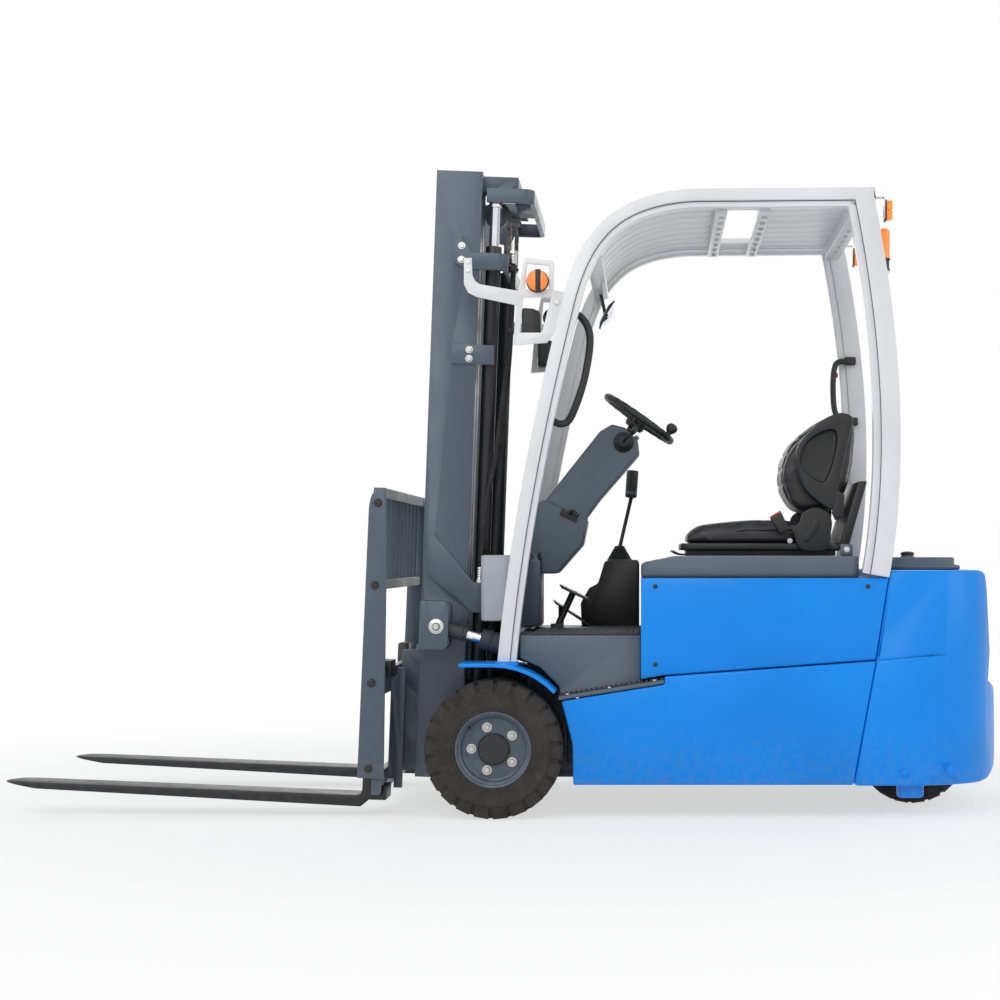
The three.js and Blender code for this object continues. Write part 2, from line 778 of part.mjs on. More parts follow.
// ---------------------------------------------------------------- driver's controls

const STEERING = {
  x: -474,
  z: 1349,
  radius: 135,
  grip: 13.5,
  shaft: 17,
  tilt: THREE.MathUtils.degToRad(35),
  hub: { radius: 36, low: -40, high: 4 },
  spoke: 9,
  knob: { angle: THREE.MathUtils.degToRad(150), radius: 19, height: 52 },
};

function steeringColumn() {
  const half = 100;
  const pedestal = box(
    [-130, COWL.rear - SEAT_GAP],
    [-110, 110],
    [DECK_HEIGHT + 14 + SEAT_GAP, COWL.top - 15 - SEAT_GAP],
  );
  const neck = box([-120, -100], [-half, half], [840, 880]);
  const lowerBox = plate(
    polygon([
      [-96, 866],
      [-96, 1007],
      [-135, 1062],
      [-294, 989],
      [-276, 901],
      [-188, 800],
      [-131, 800],
      [-131, 866],
    ]),
    [-half, half],
  );
  const post = plate(
    polygon([
      [-142, 1055],
      [-336, 1300],
      [-379, 1326],
      [-425, 1314],
      [-470, 1268],
      [-476, 1222],
      [-336, 1060],
      [-286, 992],
    ]),
    [-72, 72],
  );
  const { x, z, tilt } = STEERING;
  const below = (distance) => [x + distance * Math.sin(tilt), 0, z - distance * Math.cos(tilt)];
  const bore = rod(below(20), below(76), STEERING.shaft + 2 * SLIDE_GAP, 12);
  return cut(join(pedestal, neck, lowerBox, post), bore);
}

function steeringWheel() {
  const { radius, grip, tilt, hub: boss, spoke, knob: ball } = STEERING;
  const rim = toSolid(new THREE.TorusGeometry(radius, grip, 6, 20));
  const spokes = [0, 1, 2].map((i) => {
    const angle = Math.PI / 2 + (i * 2 * Math.PI) / 3;
    const end = [radius * Math.cos(angle), radius * Math.sin(angle), 0];
    return rod([0, 0, -14], end, spoke, 8);
  });
  const hub = rod([0, 0, boss.low], [0, 0, boss.high], boss.radius, 14);
  const shaft = rod([0, 0, -68], [0, 0, -30], STEERING.shaft, 12);
  const knobAt = [radius * Math.cos(ball.angle), radius * Math.sin(ball.angle)];
  const knob = rod([...knobAt, 0], [...knobAt, ball.height], ball.radius, 10);
  const flat = join(rim, spokes, hub, shaft, knob);
  const matrix = new THREE.Matrix4().makeRotationY(-tilt).setPosition(STEERING.x, 0, STEERING.z);
  return toSolid(geometryOf(flat).applyMatrix4(matrix));
}

const CONSOLE_REAR = SEAT_BOX_FRONT + 10;

const LEVER = { x: -400, y: -282, boot: 899, bootHeight: 52 };

function leverConsole() {
  const { x, y, boot: bootTop, bootHeight } = LEVER;
  const body = plate(
    polygon([
      [-262, DECK_HEIGHT + SEAT_GAP],
      [-258, 690],
      [-290, 745],
      [-322, 762],
      [-345, 838],
      [-356, 848],
      [-466, 848],
      [CONSOLE_REAR, 838],
      [CONSOLE_REAR, DECK_HEIGHT + SEAT_GAP],
    ]),
    [-360, -205],
  );
  const boot = wheelShape([[0, -bootHeight], [44, -bootHeight], [14, 0], [0, 0]], { x: 0, z: 0 }, 12);
  const placed = toSolid(geometryOf(boot).rotateX(Math.PI / 2).translate(x, y, bootTop));
  const lever = rod([x, y, bootTop - 9], [x - 46, y, 1090], 7, 12);
  const knob = rod([x - 42, y, 1078], [x - 49, y, 1180], 22, 16);
  return join(body, placed, lever, knob);
}

function pedals() {
  const base = box([-300, -105], [-190, 60], [DECK_HEIGHT + SEAT_GAP, DECK_HEIGHT + 8]);
  const pad = (from, to, [y0, y1]) =>
    plate(
      polygon([
        [from[0], from[1]],
        [to[0], to[1]],
        [to[0] + 8, to[1] + 14],
        [from[0] + 8, from[1] + 14],
      ].reverse()),
      [y0, y1],
    );
  const accelerator = pad([-298, 604], [-170, 690], [-185, -100]);
  const brake = pad([-300, 700], [-200, 748], [-60, 50]);
  const brakeArm = rod([-242, -5, 738], [-184, -5, 612], 12, 12);
  const prop = rod([-190, -142, 682], [-190, -142, 605], 10, 12);
  const heel = box([-205, -160], [-20, 10], [DECK_HEIGHT + 6, 622]);
  return join(base, accelerator, brake, brakeArm, heel, prop);
}

// ---------------------------------------------------------------- seat and hood

const HOOD = { front: SEAT_BOX_FRONT, rear: -1206, half: 462, wall: 14 };

function hoodLid() {
  const outer = column(
    roundedRectangle(HOOD.rear, HOOD.front, -HOOD.half, HOOD.half, 30),
    [PANEL_TOP + SEAT_GAP, HOOD_TOP],
    3,
  );
  const inside = box(
    [HOOD.rear + HOOD.wall, HOOD.front - HOOD.wall],
    [-HOOD.half + HOOD.wall, HOOD.half - HOOD.wall],
    [PANEL_TOP - 5, HOOD_TOP - HOOD.wall],
  );
  return cut(outer, inside);
}

const SEAT_TRAY_TOP = 906;
const SEAT_FRAME = { low: [-1165, 905], high: [-1232, 1120], width: 200 };

function seatBase() {
  const pan = box([-1150, -640], [-225, 225], [HOOD_TOP + SEAT_GAP, 884]);
  const tray = column(roundedRectangle(-1165, -618, -238, 238, 40), [883, SEAT_TRAY_TOP], 2);
  const { low, high, width } = SEAT_FRAME;
  const backFrame = plate(
    polygon([[-1110, 884], [-1195, 884], [high[0] - 30, high[1]], high, low]),
    [-width, width],
  );
  return join(pan, tray, backFrame);
}

function seatCushion() {
  const low = SEAT_TRAY_TOP + SEAT_GAP;
  const outline = new THREE.Shape();
  outline.moveTo(-622, low);
  outline.quadraticCurveTo(-606, 960, -640, 984);
  outline.quadraticCurveTo(-800, 1000, -1085, 968);
  outline.lineTo(-1095, low);
  return plate(outline, [-232, 232], 5);
}

function seatBack() {
  const { low, high } = SEAT_FRAME;
  const lean = (high[0] - low[0]) / (high[1] - low[1]);
  const frameFace = (z) => low[0] + (z - low[1]) * lean + SLIDE_GAP;
  const outline = polygon([
    [-1022, 1006],
    [-974, 1078],
    [-957, 1138],
    [-964, 1192],
    [-986, 1240],
    [-1032, 1290],
    [-1088, 1330],
    [-1150, 1360],
    [-1200, 1370],
    [-1230, 1350],
    [-1236, 1300],
    [frameFace(high[1] + 4), high[1] + 4],
    [frameFace(1006), 1006],
  ]);
  return plate(outline, [-215, 215]);
}

// ---------------------------------------------------------------- wheels

function frontTyre(side) {
  const half = FRONT_TYRE.width / 2;
  const { outer, rim } = FRONT_TYRE;
  const profile = [
    [rim + SEAT_GAP, -half + 12],
    [outer - 46, -half],
    [outer - 10, -half + 8],
    [outer, -half + 26],
    [outer, half - 26],
    [outer - 10, half - 8],
    [outer - 46, half],
    [rim + SEAT_GAP, half - 12],
    [rim + SEAT_GAP, -half + 12],
  ];
  return wheelShape(profile, { x: 0, y: side * FRONT_WHEEL_CENTRE_Y, z: outer }, WHEEL_SIDES);
}

function frontRim(side) {
  const { outer, rim } = FRONT_TYRE;
  const face = AXLE.end + SLIDE_GAP - FRONT_WHEEL_CENTRE_Y;
  const half = FRONT_TYRE.width / 2 - 12;
  const profile = [
    [0, face],
    [rim - 16, face],
    [rim - 12, -half],
    [rim, -half],
    [rim, half],
    [rim - 12, half],
    [rim - 18, face + 16],
    [58, face + 16],
    [50, face + 50],
    [0, face + 50],
  ].map(([r, y]) => [r, side * y]);
  return wheelShape(
    side > 0 ? profile : profile.reverse(),
    { x: 0, y: side * FRONT_WHEEL_CENTRE_Y, z: outer },
    WHEEL_SIDES,
  );
}

function rearTyre(side) {
  const half = REAR_TYRE.width / 2;
  const { outer, rim } = REAR_TYRE;
  const profile = [
    [rim + SEAT_GAP, -half + 10],
    [outer - 34, -half],
    [outer - 8, -half + 6],
    [outer, -half + 20],
    [outer, half - 20],
    [outer - 8, half - 6],
    [outer - 34, half],
    [rim + SEAT_GAP, half - 10],
    [rim + SEAT_GAP, -half + 10],
  ];
  return wheelShape(profile, { x: -WHEELBASE, y: side * REAR_TYRE_CENTRE_Y, z: outer }, REAR_WHEEL_SIDES);
}

const REAR_SHAFT = 22;

function rearHub() {
  const { outer, rim } = REAR_TYRE;
  const centre = { x: -WHEELBASE, z: outer };
  const shaft = rod([centre.x, -110, outer], [centre.x, 110, outer], REAR_SHAFT, 16);
  const rims = SIDES.map(({ side }) => {
    const low = REAR_TYRE_CENTRE_Y - REAR_TYRE.width / 2 + 10;
    const high = REAR_TYRE_CENTRE_Y + REAR_TYRE.width / 2 - 10;
    const profile = [
      [0, 96],
      [rim - 12, 96],
      [rim - 8, low],
      [rim, low],
      [rim, high],
      [rim - 8, high],
      [rim - 14, 110],
      [46, 110],
      [42, 124],
      [0, 124],
    ].map(([r, y]) => [r, side * y]);
    return wheelShape(side > 0 ? profile : profile.reverse(), centre, REAR_WHEEL_SIDES);
  });
  return join(shaft, rims);
}

function steerYoke() {
  const top = STEER_PLATE.low - SEAT_GAP;
  const turntable = rod([-WHEELBASE, 0, 408], [-WHEELBASE, 0, top], 125, 20);
  const kingpin = rod([-WHEELBASE, 0, 440], [-WHEELBASE, 0, STEER_PLATE.high + 20], KINGPIN, 16);
  const leg = box([-WHEELBASE - 58, -WHEELBASE + 58], [-24, 24], [REAR_TYRE.outer, 420]);
  const bearing = rod([-WHEELBASE, -24, REAR_TYRE.outer], [-WHEELBASE, 24, REAR_TYRE.outer], 58, 18);
  const motor = rod([-WHEELBASE, 0, 400], [-WHEELBASE, 0, 412], 100, 18);
  const bore = rod(
    [-WHEELBASE, -40, REAR_TYRE.outer],
    [-WHEELBASE, 40, REAR_TYRE.outer],
    REAR_SHAFT + 2 * SLIDE_GAP,
    16,
  );
  return cut(join(turntable, kingpin, leg, bearing, motor), bore);
}

// ---------------------------------------------------------------- mast (x is p, z is q)

function channel(side, face, flange) {
  const web = box(
    [CHANNEL_REAR, CHANNEL_FRONT],
    spanY(side, face - CHANNEL_WALL, face),
    [MAST_BOTTOM, MAST_TOP],
  );
  const flanges = [CHANNEL_REAR, CHANNEL_FRONT - CHANNEL_WALL].map((p) =>
    box([p, p + CHANNEL_WALL], spanY(side, face - flange, face), [MAST_BOTTOM, MAST_TOP]),
  );
  return join(web, flanges);
}

// A tie that wraps round behind the mast: a bent plate, open to the front.
function wrapTie({ low, high, back, thick }, half, front) {
  const corner = 34;
  const outer = roundedRectangle(back, front + 100, -half, half, corner);
  const inner = roundedRectangle(back + thick, front + 120, -half + thick, half - thick, corner - thick);
  const room = box([front, front + 200], [-half - 10, half + 10], [low - 10, high + 10]);
  return cut(column(outer, [low, high], 2), column(inner, [low - 5, high + 5], 2), room);
}

function sideGusset(side) {
  return plate(
    polygon([
      [176, 742],
      [156, 746],
      [18, 590],
      [-14, GUSSET_FOOT.high],
      [-14, GUSSET_FOOT.low],
      [22, GUSSET_FOOT.low],
      [174, 610],
    ]),
    spanY(side, OUTER_FACE - 1, OUTER_FACE + 11),
  );
}

function barrelClamp(side, { low: q0, high: q1, rear }) {
  const outerWall = box([rear, 120], spanY(side, OUTER_FACE - 1, OUTER_FACE + 9), [q0, q1]);
  const reach = LIFT_CYLINDER.y + LIFT_CYLINDER.outer + SEAT_GAP;
  const block = box([-22, 16], spanY(side, reach, OUTER_FACE), [q0, q1]);
  return join(outerWall, block);
}

function tiltPinHousing(side) {
  const { y, pin } = TILT_CYLINDER;
  const { p, q } = TILT_EYE;
  const { gap, outer, rear, wall, front, below, above } = TILT_HOUSING;
  const webY = spanY(side, OUTER_FACE - 1, y + outer);
  const frontWall = box([p + wall, p + front], webY, [q - below, q + above]);
  const outline = roundedRectangle(p - rear, p + front, q - below, q + above, 24);
  const outerEar = plate(outline, spanY(side, y + gap, y + outer));
  const innerEar = plate(outline, spanY(side, OUTER_FACE - 1, y - gap));
  const shaft = rod([p, side * (OUTER_FACE - 1), q], [p, side * (y + 46), q], pin - 1, 12);
  return join(frontWall, outerEar, innerEar, shaft);
}

function outerMast() {
  const channels = SIDES.map(({ side }) => channel(side, OUTER_FACE, OUTER_FLANGE));
  const tieFront = CHANNEL_REAR - 6;
  const crossTies = [
    [50, 200],
    [MAST_BOTTOM, MAST_BOTTOM + 24],
  ].flatMap((span) => [
    box([22, tieFront], [-OUTER_FACE, OUTER_FACE], span),
    ...SIDES.map(({ side }) => box([22, CHANNEL_REAR + 1], spanY(side, OUTER_FACE - 58, OUTER_FACE), span)),
  ]);
  const { y, p, outer } = LIFT_CYLINDER;
  const cups = SIDES.map(({ side }) =>
    box([p - outer - 8, 30], spanY(side, y - outer, y + outer), [MAST_BOTTOM, MAST_BOTTOM + BARREL_CUP]),
  );
  const ears = SIDES.map(({ side }) => {
    const span = spanY(side, PIVOT_EAR.y, PIVOT_EAR.y + PIVOT_EAR.width);
    const ring = rod([0, span[0], 0], [0, span[1], 0], PIVOT_EAR.radius, 18);
    const arm = box([-24, CHANNEL_REAR - 6], span, [0, 70]);
    const bore = rod([0, span[0] - 5, 0], [0, span[1] + 5, 0], PIVOT_PIN + 2 * SLIDE_GAP, 16);
    return cut(join(ring, arm), bore);
  });
  const upperTie = wrapTie(OUTER_TIE, OUTER_FACE + 10, CHANNEL_REAR + 40);
  const inboard = box(
    [CHANNEL_REAR - SEAT_GAP, CHANNEL_REAR + 60],
    [-OUTER_FACE + 4, OUTER_FACE - 4],
    [OUTER_TIE.low - 5, OUTER_TIE.high + 5],
  );
  const wings = SIDES.map(({ side }) =>
    plate(
      polygon([
        [58, OUTER_TIE.low],
        [76, OUTER_TIE.low],
        [124, OUTER_TIE.low + 20],
        [124, OUTER_TIE.low + 96],
        [100, OUTER_TIE.high + 52],
        [58, OUTER_TIE.high - 6],
      ]),
      spanY(side, OUTER_FACE - 1, OUTER_FACE + 10),
    ),
  );
  const gussets = SIDES.map(({ side }) => sideGusset(side));
  const clamps = SIDES.flatMap(({ side }) => [
    barrelClamp(side, UPPER_CLAMP),
    box([-14, 16], spanY(side, y + outer + SEAT_GAP, OUTER_FACE), [GUSSET_FOOT.low, GUSSET_FOOT.high]),
  ]);
  const pins = SIDES.map(({ side }) => tiltPinHousing(side));
  return join(channels, crossTies, cups, ears, cut(upperTie, inboard), wings, gussets, clamps, pins);
}

function liftBarrels() {
  const { y, p, outer, bore } = LIFT_CYLINDER;
  const low = MAST_BOTTOM + BARREL_CUP + SEAT_GAP;
  const tubes = SIDES.map(({ side }) => rod([p, side * y, low], [p, side * y, LIFT_BARREL_TOP], outer, 18));
  const glands = SIDES.map(({ side }) =>
    rod([p, side * y, LIFT_BARREL_TOP - 60], [p, side * y, LIFT_BARREL_TOP], outer + 1.5, 18),
  );
  const pipe = rod([p, -y, 215], [p, y, 215], 9, 12);
  const bores = SIDES.map(({ side }) =>
    rod([p, side * y, low + 40], [p, side * y, LIFT_BARREL_TOP + 5], bore, 18),
  );
  return cut(join(tubes, glands, pipe), bores);
}

function innerMast() {
  const channels = SIDES.map(({ side }) => channel(side, INNER_FACE, INNER_FLANGE));
  const { low, high, back, reach } = INNER_TIE;
  const topTie = wrapTie(INNER_TIE, 335, reach);
  const { p, y } = LIFT_CYLINDER;
  const heads = SIDES.map(({ side }) => box([p - 45, reach], spanY(side, 205, 330), [high - 20, high]));
  const block = box([back + 60, CHANNEL_REAR + 1], [-INNER_FACE, INNER_FACE], [high - 1, MAST_TOP]);
  const hollow = box(
    [back + 76, CHANNEL_REAR - 17],
    [-INNER_FACE + 60, INNER_FACE - 60],
    [high - 5, MAST_TOP + 5],
  );
  const bridge = box([back + 2, back + 80], [-120, 120], [high - 16, high]);
  const lowerTie = box([24, CHANNEL_REAR + 1], [-INNER_FACE + 6, INNER_FACE - 6], [230, 420]);
  const { y: chainY, width, pulley, pulleyP, pulleyQ } = CHAIN;
  const pulleys = SIDES.map(({ side }) => {
    const rim = rod(
      [pulleyP, side * (chainY - width / 2), pulleyQ],
      [pulleyP, side * (chainY + width / 2), pulleyQ],
      pulley,
      18,
    );
    const axle = rod([pulleyP, side * chainY, pulleyQ], [pulleyP, side * 214, pulleyQ], 14, 10);
    const hanger = box([pulleyP - 22, pulleyP + 22], spanY(side, 190, 206), [pulleyQ - 22, high]);
    return join(rim, axle, hanger);
  });
  const rodSeats = SIDES.map(({ side }) =>
    box([p - 20, p + 20], spanY(side, y - 24, y + 24), [high - ROD_SEAT, high - 19]),
  );
  return join(channels, topTie, heads, cut(block, hollow), bridge, lowerTie, pulleys, rodSeats);
}

function liftRod(side) {
  const { y, p, rod: radius } = LIFT_CYLINDER;
  const top = INNER_TIE.high - ROD_SEAT - SEAT_GAP;
  const shaft = rod([p, side * y, LIFT_ROD_BOTTOM], [p, side * y, top], radius, 18);
  const head = rod([p, side * y, top - 34], [p, side * y, top], 22, 18);
  return join(shaft, head);
}

const CHAIN_ANCHOR = { low: 266, high: 286 };

function liftChain(side) {
  const { y, width, thick, pulley, pulleyP, pulleyQ } = CHAIN;
  const inner = pulley + SLIDE_GAP;
  const outer = inner + thick;
  const shape = new THREE.Shape();
  shape.moveTo(pulleyP + inner, CHAIN_ANCHOR.high + SEAT_GAP);
  shape.lineTo(pulleyP + outer, CHAIN_ANCHOR.high + SEAT_GAP);
  shape.lineTo(pulleyP + outer, pulleyQ);
  shape.absarc(pulleyP, pulleyQ, outer, 0, Math.PI, false);
  shape.lineTo(pulleyP - outer, OUTER_TIE.high + SEAT_GAP);
  shape.lineTo(pulleyP - inner, OUTER_TIE.high + SEAT_GAP);
  shape.lineTo(pulleyP - inner, pulleyQ);
  shape.absarc(pulleyP, pulleyQ, inner, Math.PI, 0, true);
  return plate(shape, spanY(side, y - width / 2, y + width / 2), 5);
}

function mastHoses() {
  const back = LIFT_CYLINDER.p - LIFT_CYLINDER.outer; // rear face of the barrels
  const outerHose = bentTube(
    [
      [-2, 328, GUSSET_FOOT.high + SEAT_GAP],
      [-4, 328, 700],
      [-14, 330, 860],
      [back - 7.5, 328, 1000],
      [back - 19.5, 312, 1150],
      [back - 29.5, 290, 1300],
      [-70, 268, 1480],
      [-70, 264, 1720],
    ],
    8,
    16,
    6,
  );
  const innerHose = bentTube(
    [
      [back - 8.5, 290, 246],
      [back - 13.5, 290, 300],
      [back - 13.5, 290, 700],
      [back - 19.5, 284, 1000],
      [-66, 256, 1300],
      [-70, 240, 1480],
      [-70, 240, 1720],
    ],
    8,
    16,
    6,
  );
  const port = rod(
    [back - SEAT_GAP, 290, 243],
    [back - 12.5, 290, 243],
    12,
    8,
  );
  const clampBack = OUTER_TIE.back - SEAT_GAP;
  const clamps = [1440, 1680].map((q) => box([-80, clampBack], [230, 286], [q, q + 18]));
  return join(outerHose, innerHose, port, clamps);
}

// ---------------------------------------------------------------- carriage and forks

function carriage() {
  const half = CARRIAGE_WIDTH / 2;
  const { rear, front, lowBottom, lowTop, highBottom, highTop } = FORK_BAR;
  const bars = [
    box([rear, front], [-half, half], [lowBottom, lowTop]),
    box([rear, front], [-half, half], [highBottom, highTop]),
  ];
  const uprights = SIDES.flatMap(({ side }) => [
    box([rear - 48, rear - 20], spanY(side, 280, 300), [lowBottom, highTop]),
    box([rear - 21, rear + 1], spanY(side, 280, 300), [lowBottom + 30, highTop - 34]),
  ]);
  const rollerPlates = SIDES.flatMap(({ side }) => [
    box([62, rear - 20], spanY(side, 178, 196), [-70, 346]),
    box([rear - 21, rear + 1], spanY(side, 178, 196), [-70, highTop - 34]),
  ]);
  const backPlate = box([rear - 22, rear + 1], [-300, 300], [-20, 60]);
  const upperPlate = box([rear - 22, rear + 1], [-300, 300], [170, 230]);
  const rollers = SIDES.flatMap(({ side }) =>
    [-10, 285].map((q) => rod([114, side * 190, q], [114, side * 240, q], 53, 16)),
  );
  const anchors = SIDES.map(({ side }) =>
    box([38, 70], spanY(side, CHAIN.y - 14, 190), [CHAIN_ANCHOR.low, CHAIN_ANCHOR.high]),
  );
  return join(bars, uprights, rollerPlates, backPlate, upperPlate, rollers, anchors);
}

function loadBackrest() {
  const plates = SIDES.map(({ side }) => {
    const outline = new THREE.Shape();
    outline.moveTo(272, -62);
    outline.lineTo(358, -62);
    outline.lineTo(352, BACKREST_TOP - 70);
    outline.quadraticCurveTo(350, BACKREST_TOP - 10, 318, BACKREST_TOP);
    outline.lineTo(300, BACKREST_TOP);
    outline.lineTo(290, 730);
    return plate(outline, spanY(side, CARRIAGE_WIDTH / 2 + SLIDE_GAP, BACKREST_HALF), 6);
  });
  const reach = CARRIAGE_WIDTH / 2 + 1;
  const topBar = box([302, 340], [-reach, reach], [BACKREST_TOP - 34, BACKREST_TOP]);
  const lowBar = box([302, 340], [-reach, reach], [556, 588]);
  const slatCount = 9;
  const slats = Array.from({ length: slatCount }, (_, i) => {
    const y = ((i + 1) / (slatCount + 1) - 0.5) * 2 * reach;
    return box([308, 334], [y - 5, y + 5], [587, BACKREST_TOP - 33]);
  });
  return join(plates, topBar, lowBar, slats);
}

function fork(side) {
  const { width, thick, length, y, bottom, top } = FORK;
  const rear = FORK_BAR.front + SLIDE_GAP;
  const front = rear + thick;
  const tip = front + length;
  const lip = FORK_BAR.rear - SLIDE_GAP * 4;
  const body = new THREE.Shape();
  body.moveTo(rear, top);
  body.lineTo(rear, bottom + 62);
  body.quadraticCurveTo(rear + 4, bottom + 30, rear + 44, bottom);
  body.lineTo(front + 8, bottom);
  body.lineTo(tip - 120, bottom + 20);
  body.lineTo(tip - 6, bottom + 33);
  body.lineTo(tip, bottom + 38);
  body.lineTo(tip - 40, bottom + 42);
  body.lineTo(front + 20, bottom + 38);
  body.quadraticCurveTo(front, bottom + 38, front, bottom + 64);
  body.lineTo(front, top - 6);
  body.lineTo(front - 6, top);
  const blade = plate(body, spanY(side, y - width / 2, y + width / 2), 4);
  const plan = new THREE.Shape();
  const [y0, y1] = spanY(side, y - width / 2, y + width / 2);
  plan.moveTo(lip - 60, y0);
  plan.lineTo(tip - 100, y0);
  plan.quadraticCurveTo(tip, y0 + 20, tip, (y0 + y1) / 2);
  plan.quadraticCurveTo(tip, y1 - 20, tip - 100, y1);
  plan.lineTo(lip - 60, y1);
  const trimmed = blade.intersect(column(plan, [bottom - 10, top + 10], 5));
  const gap = SLIDE_GAP * 4;
  const { rear: barRear, lowBottom, highTop } = FORK_BAR;
  const hooks = [
    box([barRear - 14, rear + 1], [y0, y1], [highTop + gap, highTop + 30]),
    box([barRear - 14, barRear - gap], [y0, y1], [highTop - 24, highTop + 30]),
    box([barRear - 14, rear + 24], [y0, y1], [lowBottom - 26, lowBottom - gap]),
    box([barRear - 14, barRear - gap], [y0, y1], [lowBottom - 26, lowBottom + 20]),
  ];
  return join(trimmed, hooks);
}

// ---------------------------------------------------------------- tilt cylinders

function tiltAxis() {
  const eye = new THREE.Vector3(TILT_EYE.p, 0, TILT_EYE.q)
    .applyAxisAngle(new THREE.Vector3(0, 1, 0), -TILT)
    .add(new THREE.Vector3(PIVOT.x, 0, PIVOT.z));
  const rear = new THREE.Vector3(TILT_CYLINDER.rear.x, 0, TILT_CYLINDER.rear.z);
  const length = eye.distanceTo(rear);
  const along = eye.clone().sub(rear).normalize();
  const at = (distance, y) => [rear.x + along.x * distance, y, rear.z + along.z * distance];
  return { length, at };
}

// Distances along the cylinder, from its chassis pin, and back from the mast pin for the rod.
const TILT_BARREL = { start: 40, end: 230, neck: 20, neckEnd: 60, eye: 28, boreStart: 72 };
const TILT_ROD = { start: 105, back: 80, headStart: 92, headEnd: 24, head: 25, eye: 32 };
const TILT_EYE_HALF = 22;

function tiltBarrel(side) {
  const { y, outer, rod: radius, pin } = TILT_CYLINDER;
  const { at } = tiltAxis();
  const tube = rod(at(TILT_BARREL.start, side * y), at(TILT_BARREL.end, side * y), outer, 16);
  const neck = rod(at(0, side * y), at(TILT_BARREL.neckEnd, side * y), TILT_BARREL.neck, 12);
  const eye = rod(at(0, side * (y - TILT_EYE_HALF)), at(0, side * (y + TILT_EYE_HALF)), TILT_BARREL.eye, 16);
  const bore = rod(
    at(TILT_BARREL.boreStart, side * y),
    at(TILT_BARREL.end + 5, side * y),
    radius + SLIDE_GAP,
    16,
  );
  const hole = rod(at(0, side * (y - 40)), at(0, side * (y + 40)), pin + SLIDE_GAP, 16);
  return cut(join(tube, neck, eye), bore, hole);
}

function tiltRod(side) {
  const { y, rod: radius, pin } = TILT_CYLINDER;
  const { at, length } = tiltAxis();
  const shaft = rod(at(TILT_ROD.start, side * y), at(length - TILT_ROD.back, side * y), radius, 16);
  const head = rod(
    at(length - TILT_ROD.headStart, side * y),
    at(length - TILT_ROD.headEnd, side * y),
    TILT_ROD.head,
    12,
  );
  const eye = rod(
    at(length, side * (y - TILT_EYE_HALF)),
    at(length, side * (y + TILT_EYE_HALF)),
    TILT_ROD.eye,
    16,
  );
  const hole = rod(at(length, side * (y - 40)), at(length, side * (y + 40)), pin + 1.5, 16);
  return cut(join(shaft, head, eye), hole);
}

// ---------------------------------------------------------------- assembly

addPiece("chassis_frame", chassisFrame(), "iron");
addPiece("drive_axle", driveAxle(), "iron");
addPiece("battery", battery(), "iron");
addPiece("deck", deck(), "grey");
addPiece("front_cowl", frontCowl(), "lightGrey");
addPiece("counterweight", counterweight(), "blue");
addPiece("rear_cover", rearCover(), "grey");
addPiece("guard_roof", guardRoof(), "white");
addPiece("beacon", beacon(), "orange");
addPiece("grab_handle_front", grabHandleFront(), "black");
addPiece("grab_handle_rear", grabHandleRear(), "black");
addPiece("mirror", mirror(), "chrome");
addPiece("steering_column", steeringColumn(), "grey");
addPiece("steering_wheel", steeringWheel(), "black");
addPiece("lever_console", leverConsole(), "black");
addPiece("pedals", pedals(), "black");
addPiece("hood_lid", hoodLid(), "grey");
addPiece("seat_base", seatBase(), "black");
addPiece("seat_cushion", seatCushion(), "black");
addPiece("seat_back", seatBack(), "black");
addPiece("steer_yoke", steerYoke(), "iron");
addPiece("rear_hub", rearHub(), "grey");
addPiece("outer_mast", outerMast(), "slate", mast);
addPiece("lift_barrels", liftBarrels(), "black", mast);
addPiece("mast_hoses", mastHoses(), "black", mast);
addPiece("inner_mast", innerMast(), "slate", mast);
addPiece("carriage", carriage(), "slate", mast);
addPiece("load_backrest", loadBackrest(), "slate", mast);

for (const { side, label } of SIDES) {
  addPiece(`side_panel_${label}`, sidePanel(side), "blue");
  addPiece(`side_skirt_${label}`, sideSkirt(side), "blue");
  addPiece(`fender_${label}`, fender(side), "blue");
  addPiece(`guard_side_${label}`, guardSide(side), "white");
  addPiece(`lamp_bracket_${label}`, lampBracket(side), "white");
  addPiece(`rear_light_${label}`, rearLight(side), "orange");
  addPiece(`front_tyre_${label}`, frontTyre(side), "rubber");
  addPiece(`front_rim_${label}`, frontRim(side), "slate");
  addPiece(`rear_tyre_${label}`, rearTyre(side), "rubber");
  addPiece(`lift_rod_${label}`, liftRod(side), "chrome", mast);
  addPiece(`lift_chain_${label}`, liftChain(side), "iron", mast);
  addPiece(`fork_${label}`, fork(side), "black", mast);
  addPiece(`tilt_barrel_${label}`, tiltBarrel(side), "iron");
  addPiece(`tilt_rod_${label}`, tiltRod(side), "chrome");
}

truck.updateMatrixWorld(true);
const extent = new THREE.Box3().setFromObject(truck);
truck.position.x = -(extent.min.x + extent.max.x) / 2;

export default truck;
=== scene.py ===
import json
import math

import bmesh
import bpy
from mathutils import Matrix, Vector

